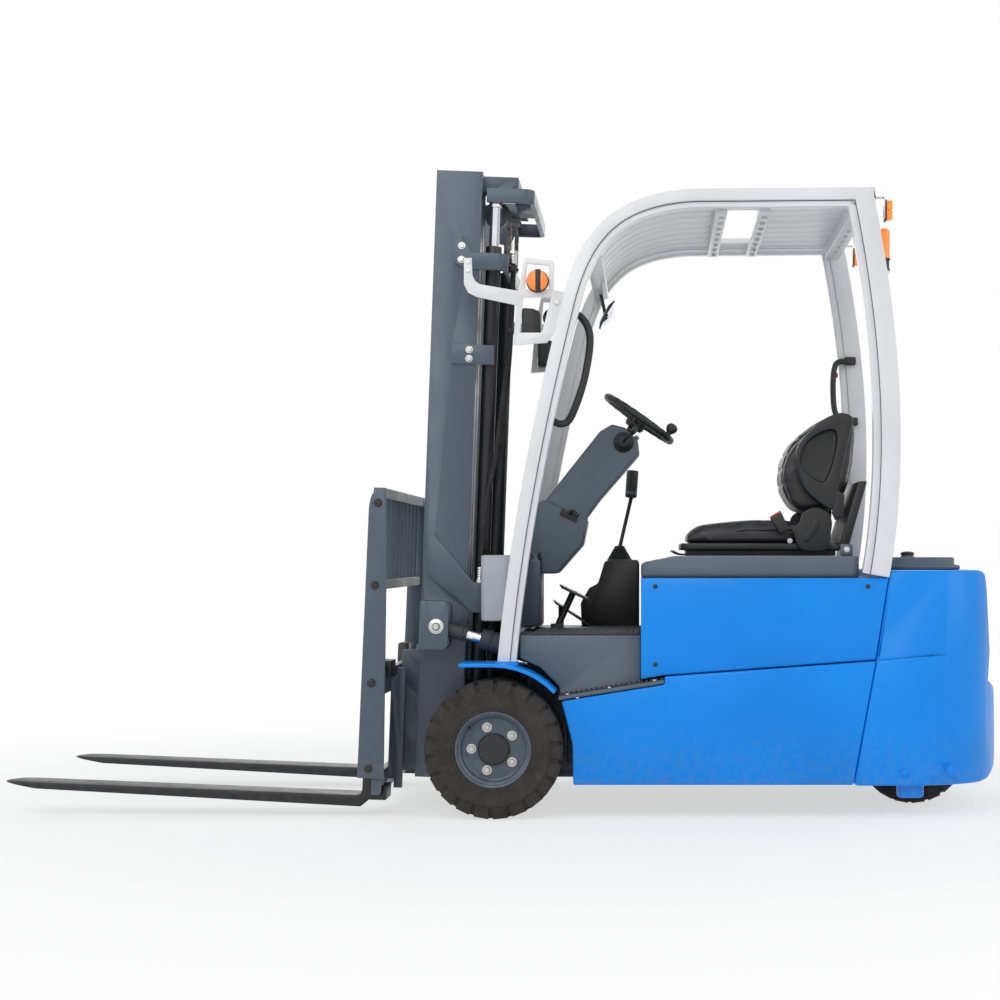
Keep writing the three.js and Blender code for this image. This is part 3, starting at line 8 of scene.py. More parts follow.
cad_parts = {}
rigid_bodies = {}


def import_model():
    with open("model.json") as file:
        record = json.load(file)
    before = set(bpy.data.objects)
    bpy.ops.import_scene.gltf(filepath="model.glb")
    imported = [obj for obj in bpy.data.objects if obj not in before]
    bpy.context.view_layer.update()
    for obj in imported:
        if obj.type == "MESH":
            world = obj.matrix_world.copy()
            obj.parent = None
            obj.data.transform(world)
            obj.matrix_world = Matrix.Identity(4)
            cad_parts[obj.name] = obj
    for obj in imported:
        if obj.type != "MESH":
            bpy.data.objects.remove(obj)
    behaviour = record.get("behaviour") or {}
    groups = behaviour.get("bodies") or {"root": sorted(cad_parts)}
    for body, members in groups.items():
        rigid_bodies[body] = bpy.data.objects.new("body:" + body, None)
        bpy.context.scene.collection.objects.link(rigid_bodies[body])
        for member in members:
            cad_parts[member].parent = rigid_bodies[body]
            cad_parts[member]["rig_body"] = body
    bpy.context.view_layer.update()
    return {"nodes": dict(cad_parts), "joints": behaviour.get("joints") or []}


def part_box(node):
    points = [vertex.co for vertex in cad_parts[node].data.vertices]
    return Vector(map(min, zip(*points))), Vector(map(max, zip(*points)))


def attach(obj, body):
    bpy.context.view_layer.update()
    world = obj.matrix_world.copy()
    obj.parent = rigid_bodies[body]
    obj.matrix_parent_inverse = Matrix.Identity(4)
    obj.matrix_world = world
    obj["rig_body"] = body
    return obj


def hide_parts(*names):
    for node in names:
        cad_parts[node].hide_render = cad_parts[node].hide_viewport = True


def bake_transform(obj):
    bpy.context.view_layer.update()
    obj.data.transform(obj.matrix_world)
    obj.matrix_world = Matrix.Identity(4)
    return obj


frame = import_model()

# The looks of a three-wheel electric forklift, in metres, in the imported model's frame.
# x is measured from the front axle in the shape data below, and at() brings it to the frame.
# Mast pieces are laid out along the mast's own axes: p ahead of the tilt pivot, q up the mast.

JOINTS = {joint["name"]: joint for joint in frame["joints"]}
AXLE_X = sum(corner.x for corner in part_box("front_tyre_left")) / 2
PIVOT = Vector(JOINTS["mast_tilt"]["pos_m"])
MAST_UP = Vector(JOINTS["mast_lift"]["axis"]).normalized()
MAST_AHEAD = Vector((MAST_UP.z, 0, -MAST_UP.x))
SIDES = ((1, "left"), (-1, "right"))


def at(x, y, z):
    return Vector((AXLE_X + x, y, z))


def linked(name, data):
    """A new object that holds the data, in the scene."""
    made = bpy.data.objects.new(name, data)
    bpy.context.scene.collection.objects.link(made)
    return made


def on_mast(p, y, q):
    return PIVOT + MAST_AHEAD * p + Vector((0, y, 0)) + MAST_UP * q


MAST_FRAME = Matrix.Translation(PIVOT) @ Matrix(
    ((MAST_AHEAD.x, 0, MAST_UP.x, 0), (0, 1, 0, 0), (MAST_AHEAD.z, 0, MAST_UP.z, 0), (0, 0, 0, 1))
)


# ------------------------------------------------------------------ camera, light and floor


CAMERA_LENS = 65.3
CAMERA_SENSOR = 36
CAMERA_SHIFT = (-0.150, 0.056)
CAMERA_PLACE = (-0.513, 6.45, 0.862)
FLOOR_HALF = 60
PURE_WHITE = (1, 1, 1, 1)
WORLD_LIGHT = ((0.93, 0.95, 1.0, 1), 0.42)
FLOOR_TONE = (0.93, 0.93, 0.93, 1)
# From 1.3 to 3.2 m out the floor goes from 0.62 of the seen white to all of it.
FLOOR_FADE = (1.3, 3.2, 0.62, 1.0)
LIGHTS = (
    ("key", (1.5, 5.5, 5.0), (-0.1, 0, 0.9), 5.0, 160),
    ("fill_rear", (-5.5, 3.0, 3.2), (-0.6, 0, 0.9), 4.0, 70),
    ("fill_front", (5.5, 2.0, 3.0), (0.3, 0, 1.0), 4.0, 65),
    ("far_side", (0.0, -5.5, 4.0), (0, 0, 0.9), 5.0, 90),
)


def add_stage():
    scene = bpy.context.scene
    camera = bpy.data.cameras.new("camera")
    camera.lens = CAMERA_LENS
    camera.sensor_width = CAMERA_SENSOR
    camera.shift_x, camera.shift_y = CAMERA_SHIFT
    holder = linked("camera", camera)
    holder.location = at(*CAMERA_PLACE)
    holder.rotation_euler = (math.pi / 2, 0, math.pi)
    scene.camera = holder

    floor_mesh = bpy.data.meshes.new("floor")
    size = FLOOR_HALF
    corners = [(-size, -size, 0), (size, -size, 0), (size, size, 0), (-size, size, 0)]
    floor_mesh.from_pydata(corners, [], [(0, 1, 2, 3)])
    floor = linked("floor", floor_mesh)
    floor.data.materials.append(floor_material())

    scene.world = bpy.data.worlds.new("world")
    nodes = Nodes(scene.world)
    nodes.tree.nodes.clear()
    colour, strength = WORLD_LIGHT
    lit = nodes.node("ShaderNodeBackground", {"Color": colour, "Strength": strength})
    seen = nodes.node("ShaderNodeBackground", {"Color": PURE_WHITE, "Strength": 1.0})
    mix = {0: nodes.background_rays(), 1: lit.outputs[0], 2: seen.outputs[0]}
    mix = nodes.node("ShaderNodeMixShader", mix)
    nodes.node("ShaderNodeOutputWorld", {0: mix.outputs[0]})
    for light in LIGHTS:
        area_light(*light)
    scene.view_settings.view_transform = "Standard"


def area_light(name, place, target, size, power):
    data = bpy.data.lights.new(name, "AREA")
    data.energy = power
    data.size = size
    holder = linked(name, data)
    holder.location = place
    holder.rotation_mode = "QUATERNION"
    holder.rotation_quaternion = (Vector(target) - Vector(place)).to_track_quat("-Z", "Y")


def floor_material():
    """Pale and lit for every ray, fading to pure white, away from the truck, where it is seen."""
    material = bpy.data.materials.new("floor_pale")
    nodes = Nodes(material)
    nodes.tree.nodes.clear()
    lit = nodes.node("ShaderNodeBsdfDiffuse", {"Color": FLOOR_TONE})
    seen = nodes.node("ShaderNodeEmission", {"Color": PURE_WHITE, "Strength": 1.0})
    place = nodes.node("ShaderNodeTexCoord").outputs["Object"]
    apart = nodes.node("ShaderNodeVectorMath", {0: place}, operation="LENGTH").outputs["Value"]
    share = nodes.product(nodes.background_rays(), nodes.ranged(apart, *FLOOR_FADE))
    mix = nodes.node("ShaderNodeMixShader", {0: share, 1: lit.outputs[0], 2: seen.outputs[0]})
    nodes.node("ShaderNodeOutputMaterial", {0: mix.outputs[0]})
    return material


# ------------------------------------------------------------------ materials


class Nodes:
    """The node tree of a world or a material, with short ways to add to it."""

    def __init__(self, owner):
        owner.use_nodes = True
        self.tree = owner.node_tree

    def node(self, kind, inputs=None, **settings):
        """A new node. Each input is either a value or the socket that feeds it."""
        made = self.tree.nodes.new(kind)
        for key, value in settings.items():
            setattr(made, key, value)
        for key, value in (inputs or {}).items():
            self.feed(made.inputs[key], value)
        return made

    def feed(self, socket, value):
        if isinstance(value, bpy.types.NodeSocket):
            self.tree.links.new(value, socket)
        else:
            socket.default_value = value

    def product(self, a, b):
        return self.node("ShaderNodeMath", {0: a, 1: b}, operation="MULTIPLY").outputs[0]

    def ranged(self, value, low, high, out_low=0.0, out_high=1.0):
        numbers = (value, low, high, out_low, out_high)
        return self.node("ShaderNodeMapRange", dict(enumerate(numbers))).outputs[0]

    def background_rays(self):
        """1 for the rays that see the background: camera, mirror and glass rays."""
        path = self.node("ShaderNodeLightPath").outputs
        total = path["Is Camera Ray"]
        for kind in ("Is Glossy Ray", "Is Transmission Ray"):
            total = self.node("ShaderNodeMath", {0: total, 1: path[kind]}, operation="MAXIMUM").outputs[0]
        return total


class Surface(Nodes):
    """A Principled material whose colour, roughness and relief come from procedural noise."""

    def __init__(self, name, roughness=0.5, metallic=0.0, **fixed):
        self.material = bpy.data.materials.new(name)
        super().__init__(self.material)
        self.shader = self.tree.nodes["Principled BSDF"]
        self.shader.inputs["Metallic"].default_value = metallic
        self.shader.inputs["Roughness"].default_value = roughness
        for socket, value in fixed.items():
            self.shader.inputs[socket.replace("_", " ")].default_value = value
        self.place = self.node("ShaderNodeTexCoord").outputs["Object"]

    def stretched(self, scale):
        return self.node("ShaderNodeMapping", {"Scale": scale, "Vector": self.place}).outputs["Vector"]

    def noise(self, scale, detail=3.0, vector=None):
        inputs = {"Scale": scale, "Detail": detail, "Vector": vector or self.place}
        return self.node("ShaderNodeTexNoise", inputs).outputs["Fac"]

    def cells(self, scale, feature="F1"):
        inputs = {"Scale": scale, "Vector": self.place}
        return self.node("ShaderNodeTexVoronoi", inputs, feature=feature).outputs["Distance"]

    def mixed(self, factor, first, second):
        first, second = ((*c, 1) if isinstance(c, tuple) else c for c in (first, second))
        return self.node("ShaderNodeMix", {0: factor, 6: first, 7: second}, data_type="RGBA").outputs[2]

    def drifting(self, scale, colour, darker, lighter):
        """The colour, drifting slowly between two shades of itself."""
        share = self.ranged(self.noise(scale), 0.35, 0.65)
        return self.mixed(share, shade(colour, darker), shade(colour, lighter))

    def colour(self, output):
        self.feed(self.shader.inputs["Base Color"], output)

    def rough(self, value, low, high):
        self.feed(self.shader.inputs["Roughness"], self.ranged(value, 0.3, 0.7, low, high))

    def relief(self, height, strength, distance):
        inputs = {"Strength": strength, "Distance": distance, "Height": height}
        self.feed(self.shader.inputs["Normal"], self.node("ShaderNodeBump", inputs).outputs["Normal"])

    def edges(self, radius=0.004):
        """1 along sharp edges, where a rounded normal turns away from the face's own."""
        rounded = self.node("ShaderNodeBevel", {"Radius": radius}, samples=3).outputs["Normal"]
        flat = self.node("ShaderNodeNewGeometry").outputs["Normal"]
        both = self.node("ShaderNodeVectorMath", {0: rounded, 1: flat}, operation="DOT_PRODUCT")
        return self.ranged(both.outputs["Value"], 0.97, 0.80)

    def height_z(self):
        return self.node("ShaderNodeSeparateXYZ", {0: self.place}).outputs["Z"]


ROAD_DUST = (0.30, 0.29, 0.27)
OIL = (0.03, 0.025, 0.02)
MAT_GREY = (0.055, 0.056, 0.058)
MAT_FLECK = (0.32, 0.32, 0.33)


def shade(colour, factor):
    return tuple(min(1.0, channel * factor) for channel in colour)


def paint(name, colour, roughness, coat=0.0, wear=None, dust=0.25, shine=0.5):
    """Sprayed paint: soft orange peel, slight tone drift, road dust low down and worn edges."""
    surface = Surface(
        name, roughness, 0.0, Coat_Weight=coat, Coat_Roughness=0.12, Specular_IOR_Level=shine
    )
    tone = surface.drifting(2.3, colour, 0.94, 1.05)
    low = surface.ranged(surface.height_z(), 0.32, 0.05)
    spots = surface.ranged(surface.noise(38, 6), 0.42, 0.72)
    tone = surface.mixed(surface.product(surface.product(low, spots), dust), tone, ROAD_DUST)
    if wear:
        patches = surface.ranged(surface.noise(55, 5), 0.52, 0.66, 0.0, 0.7)
        tone = surface.mixed(surface.product(surface.edges(), patches), tone, wear)
    surface.colour(tone)
    surface.rough(surface.noise(14), roughness * 0.85, roughness * 1.2)
    surface.relief(surface.noise(520, 2), 0.05, 0.0006)
    return surface.material


def moulded(name, colour, roughness=0.55, grain=900, depth=0.25):
    """Injection-moulded plastic with a fine leather-like grain."""
    surface = Surface(name, roughness)
    tone = surface.drifting(3.1, colour, 0.92, 1.07)
    scuffs = surface.ranged(surface.noise(70, 7), 0.60, 0.75, 0.0, 0.22)
    surface.colour(surface.mixed(scuffs, tone, shade(colour, 1.7)))
    surface.rough(surface.noise(9), roughness * 0.9, roughness * 1.15)
    surface.relief(surface.cells(grain), depth, 0.0004)
    return surface.material


def vinyl(name, colour):
    surface = Surface(name, 0.42, 0.0, Sheen_Weight=0.08, Sheen_Roughness=0.4)
    surface.colour(surface.drifting(5, colour, 0.85, 1.2))
    surface.rough(surface.noise(24), 0.36, 0.5)
    surface.relief(surface.cells(330, "SMOOTH_F1"), 0.35, 0.0009)
    return surface.material


def rubber(name, colour, dust=(0.15, 0.14, 0.13)):
    surface = Surface(name, 0.8)
    dirt = surface.ranged(surface.noise(70, 7), 0.50, 0.74, 0.0, 0.30)
    drift = surface.ranged(surface.noise(6), 0.3, 0.7)
    tone = surface.mixed(drift, shade(colour, 0.8), shade(colour, 1.25))
    surface.colour(surface.mixed(dirt, tone, dust))
    surface.rough(surface.noise(18), 0.7, 0.92)
    surface.relief(surface.noise(260, 6), 0.3, 0.0009)
    return surface.material


def bare_metal(name, colour, roughness, streak=(1, 1, 1), oily=0.0):
    surface = Surface(name, roughness, 1.0)
    lines = surface.noise(160, 4, surface.stretched(streak))
    tone = surface.mixed(surface.ranged(lines, 0.35, 0.65), shade(colour, 0.86), shade(colour, 1.06))
    if oily:
        stain = surface.ranged(surface.noise(60, 5), 0.45, 0.7, 0.0, oily)
        tone = surface.mixed(stain, tone, OIL)
    surface.colour(tone)
    surface.rough(lines, roughness * 0.8, roughness * 1.4)
    surface.relief(lines, 0.04, 0.0003)
    return surface.material


def lens(name, colour, glow):
    surface = Surface(name, 0.16, 0.0, Transmission_Weight=0.35, IOR=1.49, Coat_Weight=0.4)
    rings = surface.noise(60, 1, surface.stretched((1, 1, 9)))
    surface.colour(surface.mixed(surface.ranged(rings, 0.35, 0.65), shade(colour, 0.8), colour))
    surface.shader.inputs["Emission Color"].default_value = (*colour, 1)
    surface.shader.inputs["Emission Strength"].default_value = glow
    surface.relief(rings, 0.35, 0.002)
    return surface.material


def speckled(name):
    """Anti-slip rubber: dark grey with pale flecks and a raised pebble."""
    surface = Surface(name, 0.85)
    flecks = surface.ranged(surface.cells(260), 0.10, 0.16, 1.0, 0.0)
    patches = surface.ranged(surface.noise(120, 4), 0.45, 0.6)
    surface.colour(surface.mixed(surface.product(flecks, patches), MAT_GREY, MAT_FLECK))
    surface.rough(surface.noise(40), 0.75, 0.95)
    surface.relief(surface.cells(260), 0.5, 0.001)
    return surface.material


BLUE = (0.0, 0.285, 0.900)
SLATE = (0.072, 0.100, 0.132)
WHITE = (0.80, 0.81, 0.82)
HOOD_GREY = (0.098, 0.130, 0.164)
COWL_GREY = (0.42, 0.44, 0.48)
BLACK = (0.012, 0.012, 0.013)

MATERIALS = {
    "blue": paint("paint_blue", BLUE, 0.34, coat=0.15, wear=(0.10, 0.40, 0.86), shine=0.25),
    "slate": paint("paint_slate", SLATE, 0.42, coat=0.15, wear=(0.30, 0.33, 0.36)),
    "white": paint("paint_white", WHITE, 0.36, coat=0.2, wear=(0.62, 0.63, 0.64)),
    "black": paint("paint_black", (0.014, 0.014, 0.016), 0.40, wear=(0.16, 0.15, 0.14), dust=0.06),
    "iron": paint("paint_iron", (0.030, 0.034, 0.040), 0.60, wear=(0.16, 0.15, 0.14), dust=0.5),
    "hood": moulded("plastic_hood", HOOD_GREY, 0.50),
    "cowl": moulded("plastic_cowl", COWL_GREY, 0.50, depth=0.12),
    "plastic": moulded("plastic_black", BLACK, 0.45, depth=0.3),
    "vinyl": vinyl("vinyl_black", (0.013, 0.013, 0.015)),
    "tyre": rubber("rubber_tyre", (0.026, 0.023, 0.021), dust=(0.085, 0.075, 0.066)),
    "hose": rubber("rubber_hose", (0.012, 0.012, 0.013), dust=(0.05, 0.05, 0.05)),
    "chrome": bare_metal("chrome_rod", (0.80, 0.81, 0.83), 0.10, streak=(1, 1, 0.1)),
    "zinc": bare_metal("zinc_bolt", (0.62, 0.62, 0.60), 0.32),
    "chain": bare_metal("chain_steel", (0.16, 0.155, 0.15), 0.42, oily=0.7),
    "mirror": bare_metal("mirror_glass", (0.90, 0.92, 0.95), 0.03),
    "mat": speckled("rubber_mat"),
    "amber": lens("lens_amber", (1.0, 0.27, 0.01), 0.35),
    "lamp": lens("lens_lamp", (0.35, 0.37, 0.40), 0.0),
    "red": moulded("plastic_red", (0.60, 0.03, 0.02), 0.4),
}


# ------------------------------------------------------------------ mesh tools


def make_piece(name, mesh, look, replaces=(), smooth=38):
    """A finished piece that no body carries yet. A list of meshes is joined first."""
    if isinstance(mesh, list):
        mesh = joined(mesh)
    mesh.name = name
    piece = linked(name, mesh)
    mesh.materials.clear()
    mesh.materials.append(MATERIALS[look])
    smooth_by_angle(mesh, smooth)
    if replaces:
        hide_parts(*replaces)
    return piece


def finish_mesh(name, mesh, look, body=None, replaces=(), smooth=38):
    """A finished piece that rides on a body, the chassis unless another is named."""
    piece = make_piece(name, mesh, look, replaces, smooth)
    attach(piece, body or CHASSIS)
    return piece


def smooth_by_angle(mesh, degrees):
    for polygon in mesh.polygons:
        polygon.use_smooth = True
    mesh.set_sharp_from_angle(angle=math.radians(degrees))


def mesh_from(bm):
    bmesh.ops.recalc_face_normals(bm, faces=bm.faces[:])
    mesh = bpy.data.meshes.new("mesh")
    bm.to_mesh(mesh)
    bm.free()
    return mesh


def joined(meshes):
    bm = bmesh.new()
    for mesh in meshes:
        bm.from_mesh(mesh)
    made = bpy.data.meshes.new("joined")
    bm.to_mesh(made)
    bm.free()
    return made


def moved(mesh, matrix):
    mesh.transform(matrix)
    return mesh


def with_modifiers(mesh, *steps):
    """The mesh after a list of (modifier kind, settings) is applied to it."""
    holder = linked("work", mesh)
    for kind, settings in steps:
        modifier = holder.modifiers.new(kind.lower(), kind)
        for key, value in settings.items():
            setattr(modifier, key, value)
    depsgraph = bpy.context.evaluated_depsgraph_get()
    made = bpy.data.meshes.new_from_object(holder.evaluated_get(depsgraph))
    bpy.data.objects.remove(holder)
    return made


def bevelled(mesh, width, segments=2, angle=32):
    settings = {"width": width, "segments": segments, "miter_outer": "MITER_ARC"}
    settings |= {"limit_method": "ANGLE", "angle_limit": math.radians(angle)}
    settings["use_clamp_overlap"] = False
    return with_modifiers(mesh, ("BEVEL", settings))


def combined(mesh, tool, operation):
    """The exact boolean of two closed meshes."""
    holder = linked("tool", tool)
    settings = {"object": holder, "operation": operation, "solver": "EXACT"}
    made = with_modifiers(mesh, ("BOOLEAN", settings))
    bpy.data.objects.remove(holder)
    return made


def cut_by(mesh, *tools):
    """The mesh less the tools."""
    for tool in tools:
        mesh = combined(mesh, tool, "DIFFERENCE")
    return mesh


def cad_mesh(node):
    """A clean copy of a CAD node's mesh, with its flat faces whole again."""
    bm = bmesh.new()
    bm.from_mesh(frame["nodes"][node].data)
    bmesh.ops.remove_doubles(bm, verts=bm.verts[:], dist=2e-5)
    bmesh.ops.dissolve_limit(bm, angle_limit=math.radians(0.6), verts=bm.verts[:], edges=bm.edges[:])
    return mesh_from(bm)


def refined(node, look, width):
    """Stands for a CAD node with the same shape and rounded edges."""
    body = frame["nodes"][node]["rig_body"]
    return finish_mesh(f"{node}_skin", bevelled(cad_mesh(node), width), look, body, [node])


def prism(outline, low, high, axis="y"):
    """An outline carried along one axis: (x, z) along y, (x, y) along z or (y, z) along x."""
    place = {
        "y": lambda u, v, w: (u, w, v),
        "z": lambda u, v, w: (u, v, w),
        "x": lambda u, v, w: (w, u, v),
    }[axis]
    bm = bmesh.new()
    rings = [[bm.verts.new(place(u, v, w)) for u, v in outline] for w in (low, high)]
    count = len(outline)
    bm.faces.new(rings[0])
    bm.faces.new(rings[1])
    for i in range(count):
        j = (i + 1) % count
        bm.faces.new((rings[0][i], rings[0][j], rings[1][j], rings[1][i]))
    return mesh_from(bm)


def block(low, high):
    (x0, y0, z0), (x1, y1, z1) = low, high
    return prism([(x0, z0), (x1, z0), (x1, z1), (x0, z1)], y0, y1)


def grid(rings, closed_u=True, closed_v=False, caps=True):
    """A surface through rings of points; caps close the first and last ring."""
    bm = bmesh.new()
    verts = [[bm.verts.new(point) for point in ring] for ring in rings]
    rows, columns = len(verts), len(verts[0])
    for i in range(rows if closed_v else rows - 1):
        for j in range(columns if closed_u else columns - 1):
            a, b = verts[i], verts[(i + 1) % rows]
            k = (j + 1) % columns
            bm.faces.new((a[j], a[k], b[k], b[j]))
    if caps and not closed_v:
        bm.faces.new(verts[0])
        bm.faces.new(verts[-1])
    return mesh_from(bm)


def round_angles(count):
    return [2 * math.pi * k / count for k in range(count)]


def turned(profile, centre, axis=(0, 1, 0), segments=64):
    """A closed profile of (radius, height) turned about an axis through a centre."""
    direction = Vector(axis).normalized()
    side = direction.orthogonal().normalized()
    other = direction.cross(side)
    bm = bmesh.new()
    rings = []
    for radius, height in profile:
        middle = Vector(centre) + direction * height
        if radius < 1e-6:
            rings.append([bm.verts.new(middle)])
            continue
        rings.append(
            [
                bm.verts.new(middle + (side * math.cos(a) + other * math.sin(a)) * radius)
                for a in round_angles(segments)
            ]
        )
    closed = len(rings[0]) > 1 and len(rings[-1]) > 1
    pairs = list(zip(rings, rings[1:])) + ([(rings[-1], rings[0])] if closed else [])
    for a, b in pairs:
        for k in range(segments):
            m = (k + 1) % segments
            if len(a) == 1:
                bm.faces.new((a[0], b[m], b[k]))
            elif len(b) == 1:
                bm.faces.new((a[k], a[m], b[0]))
            else:
                bm.faces.new((a[k], a[m], b[m], b[k]))
    return mesh_from(bm)


def cylinder(start, end, radius, segments=32, chamfer=0.001):
    start, end = Vector(start), Vector(end)
    length = (end - start).length
    chamfer = min(chamfer, length / 3, radius / 3)
    profile = [
        (0, 0), (radius - chamfer, 0), (radius, chamfer), (radius, length - chamfer),
        (radius - chamfer, length), (0, length),
    ]
    return turned(profile, start, end - start, segments)


def between(a, b, c, d, t):
    """The point at share t from b to c on the Catmull-Rom curve through four points."""
    bow, twist = 2 * a - 5 * b + 4 * c - d, 3 * b - a - 3 * c + d
    return 0.5 * (2 * b + (c - a) * t + bow * t * t + twist * t * t * t)


def smooth_line(points, steps=8):
    """A smooth line through the points, as a list of vectors."""
    points = [Vector(point) for point in points]
    ends = [points[0] * 2 - points[1], *points, points[-1] * 2 - points[-2]]
    fours = zip(ends, ends[1:], ends[2:], ends[3:])
    return [between(*four, k / steps) for four in fours for k in range(steps)] + [points[-1]]


def swept(line, radius, sides=16, scale=None):
    """A tube along a line of points; scale gives the radius factor at each share of it."""
    rings = []
    normal = None
    for i, point in enumerate(line):
        ahead = (line[min(i + 1, len(line) - 1)] - line[max(i - 1, 0)]).normalized()
        if normal is None:
            normal = ahead.orthogonal().normalized()
        normal = (normal - ahead * normal.dot(ahead)).normalized()
        across = ahead.cross(normal)
        r = radius * (scale(i / (len(line) - 1)) if scale else 1)
        rings.append(
            [point + (normal * math.cos(a) + across * math.sin(a)) * r for a in round_angles(sides)]
        )
    return grid(rings)


def tube(points, radius, sides=16, steps=8, scale=None):
    return swept(smooth_line(points, steps), radius, sides, scale)


def hex_bolt(centre, axis, across, height, washer=True):
    """A hexagon bolt head on its washer, standing out along an axis."""
    direction = Vector(axis).normalized()
    base = Vector(centre)
    parts = []
    if washer:
        parts.append(cylinder(base, base + direction * 0.0025, across * 0.78, 28, 0.0006))
        base = base + direction * 0.002
    r = across / math.sqrt(3)
    profile = [(0, 0), (r, 0), (r, height * 0.82), (r * 0.86, height), (0, height)]
    parts.append(turned(profile, base, direction, 6))
    return joined(parts)


def bezier(a, b, c, d, steps):
    """Points of a cubic curve in the (x, z) plane, with its tangents, the last left out."""
    made = []
    for k in range(steps):
        t = k / steps
        u = 1 - t
        point = [
            u**3 * a[i] + 3 * u * u * t * b[i] + 3 * u * t * t * c[i] + t**3 * d[i] for i in (0, 1)
        ]
        tangent = [
            3 * u * u * (b[i] - a[i]) + 6 * u * t * (c[i] - b[i]) + 3 * t * t * (d[i] - c[i])
            for i in (0, 1)
        ]
        made.append((Vector(point), Vector(tangent).normalized()))
    return made


def raised(a, control, c):
    """The cubic that equals a quadratic curve."""
    b = [a[i] + 2 / 3 * (control[i] - a[i]) for i in (0, 1)]
    d = [c[i] + 2 / 3 * (control[i] - c[i]) for i in (0, 1)]
    return a, b, d, c


def strip(samples, near, far):
    """The outline between two offsets of a sampled line, on its right-hand side."""

    def offset(distance):
        return [(p.x + t.y * distance, p.y - t.x * distance) for p, t in samples]

    return offset(near) + offset(far)[::-1]


def body_of(node):
    return frame["nodes"][node]["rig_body"]


CHASSIS = body_of("chassis_frame")
SEAT_HOOD = body_of("hood_lid")
OUTER = body_of("outer_mast")
INNER = body_of("inner_mast")
CARRIAGE = body_of("carriage")


# ------------------------------------------------------------------ wheels


def tyre_profile(outer, rim, half, shoulder):
    """Half a tyre's section, from the bead outside round to the middle of the tread."""
    return [
        (rim + 0.0004, half - 0.012, 0), (rim + 0.004, half - 0.007, 0), (rim + 0.012, half - 0.006, 0),
        (rim + 0.015, half - 0.0035, 0), (rim + 0.020, half - 0.0035, 0),
        (outer - 0.058, half - 0.002, 0), (outer - 0.050, half, 0), (outer - 0.042, half, 0),
        (outer - 0.040, half - 0.003, 0.15), (outer - 0.024, half - 0.004, 1),
        (outer - shoulder, half - 0.007, 1), (outer - shoulder * 0.35, half - 0.013, 1),
        (outer, half - 0.024, 1), (outer, half - 0.048, 1), (outer, half - 0.050, 0.9),
        (outer, half - 0.054, 0),
    ]


def tyre_mesh(outer, rim, half, lugs, depth):
    """A solid tyre: a turned section whose shoulders are cut by grooves between lugs."""
    side = tyre_profile(outer, rim, half, 0.010)
    profile = side + [(r, -h, g) for r, h, g in reversed(side)]
    cuts = ((0.0, 0), (0.74, 0), (0.77, 1), (0.97, 1))
    rings = []
    for lug in range(lugs):
        for share, groove in cuts:
            near = 2 * math.pi * (lug + share) / lugs
            ring = []
            for radius, height, open_here in profile:
                far = near + (math.pi / lugs if height < 0 else 0)
                sunk = radius - depth * groove * open_here
                if rim < radius < outer - 0.03:
                    sunk = radius
                inward = height * (1 - 0.05 * groove * open_here)
                ring.append((sunk * math.sin(far), inward, sunk * math.cos(far)))
            rings.append(ring)
    return grid(rings, closed_u=True, closed_v=True, caps=False)


def front_rim_mesh(side):
    """The pressed disc of a front wheel with its rim."""
    seat = [
        (0.0, 0.0172), (0.100, 0.0172), (0.113, -0.0750), (0.125, -0.0755), (0.125, 0.0750),
        (0.1215, 0.0755), (0.1180, 0.0735), (0.1165, 0.0620), (0.1090, 0.0560), (0.1045, 0.0380),
        (0.0990, 0.0345), (0.0900, 0.0350), (0.0560, 0.0370), (0.0520, 0.0400), (0.0500, 0.0460),
        (0.0460, 0.0470), (0.0, 0.0470),
    ]
    return turned([(r, h * side) for r, h in seat], (0, 0, 0), segments=96)


def wheel_studs(side, radius, count, height, across):
    parts = []
    for k in range(count):
        angle = 2 * math.pi * (k + 0.25) / count
        place = (radius * math.sin(angle), height * side, radius * math.cos(angle))
        axis = (0, side, 0)
        parts.append(hex_bolt(place, axis, across, across * 0.55))
        tip = Vector(place) + Vector(axis) * across * 0.5
        parts.append(cylinder(tip, tip + Vector(axis) * 0.008, across * 0.28, 16, 0.0012))
    return joined(parts)


def add_front_wheels():
    for side, label in SIDES:
        body = f"front_wheel_{label}"
        low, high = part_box(f"front_tyre_{label}")
        centre = (low + high) / 2
        outer = (high.z - low.z) / 2
        half = (high.y - low.y) / 2
        tyre = moved(tyre_mesh(outer, 0.125, half, 22, 0.009), Matrix.Translation(centre))
        finish_mesh(f"tyre_front_{label}", tyre, "tyre", body, [f"front_tyre_{label}"], smooth=30)
        rim = moved(front_rim_mesh(side), Matrix.Translation(centre))
        finish_mesh(f"rim_front_{label}", rim, "slate", body, [f"front_rim_{label}"], smooth=30)
        studs = moved(wheel_studs(side, 0.074, 5, 0.036, 0.021), Matrix.Translation(centre))
        finish_mesh(f"studs_front_{label}", studs, "zinc", body)
        cap = [(0, 0.045), (0.0515, 0.045), (0.0515, 0.052), (0.048, 0.056), (0.012, 0.0575), (0, 0.0575)]
        cap = turned([(r, h * side) for r, h in cap], centre, segments=64)
        finish_mesh(f"cap_front_{label}", cap, "black", body)
        add_valve(centre, side, body, label)


def add_valve(centre, side, body, label):
    start = centre + Vector((0.078, 0.050 * side, 0.070))
    stem = cylinder(start, start + Vector((-0.004, 0.020 * side, -0.004)), 0.004, 16)
    finish_mesh(f"valve_front_{label}", stem, "black", body)


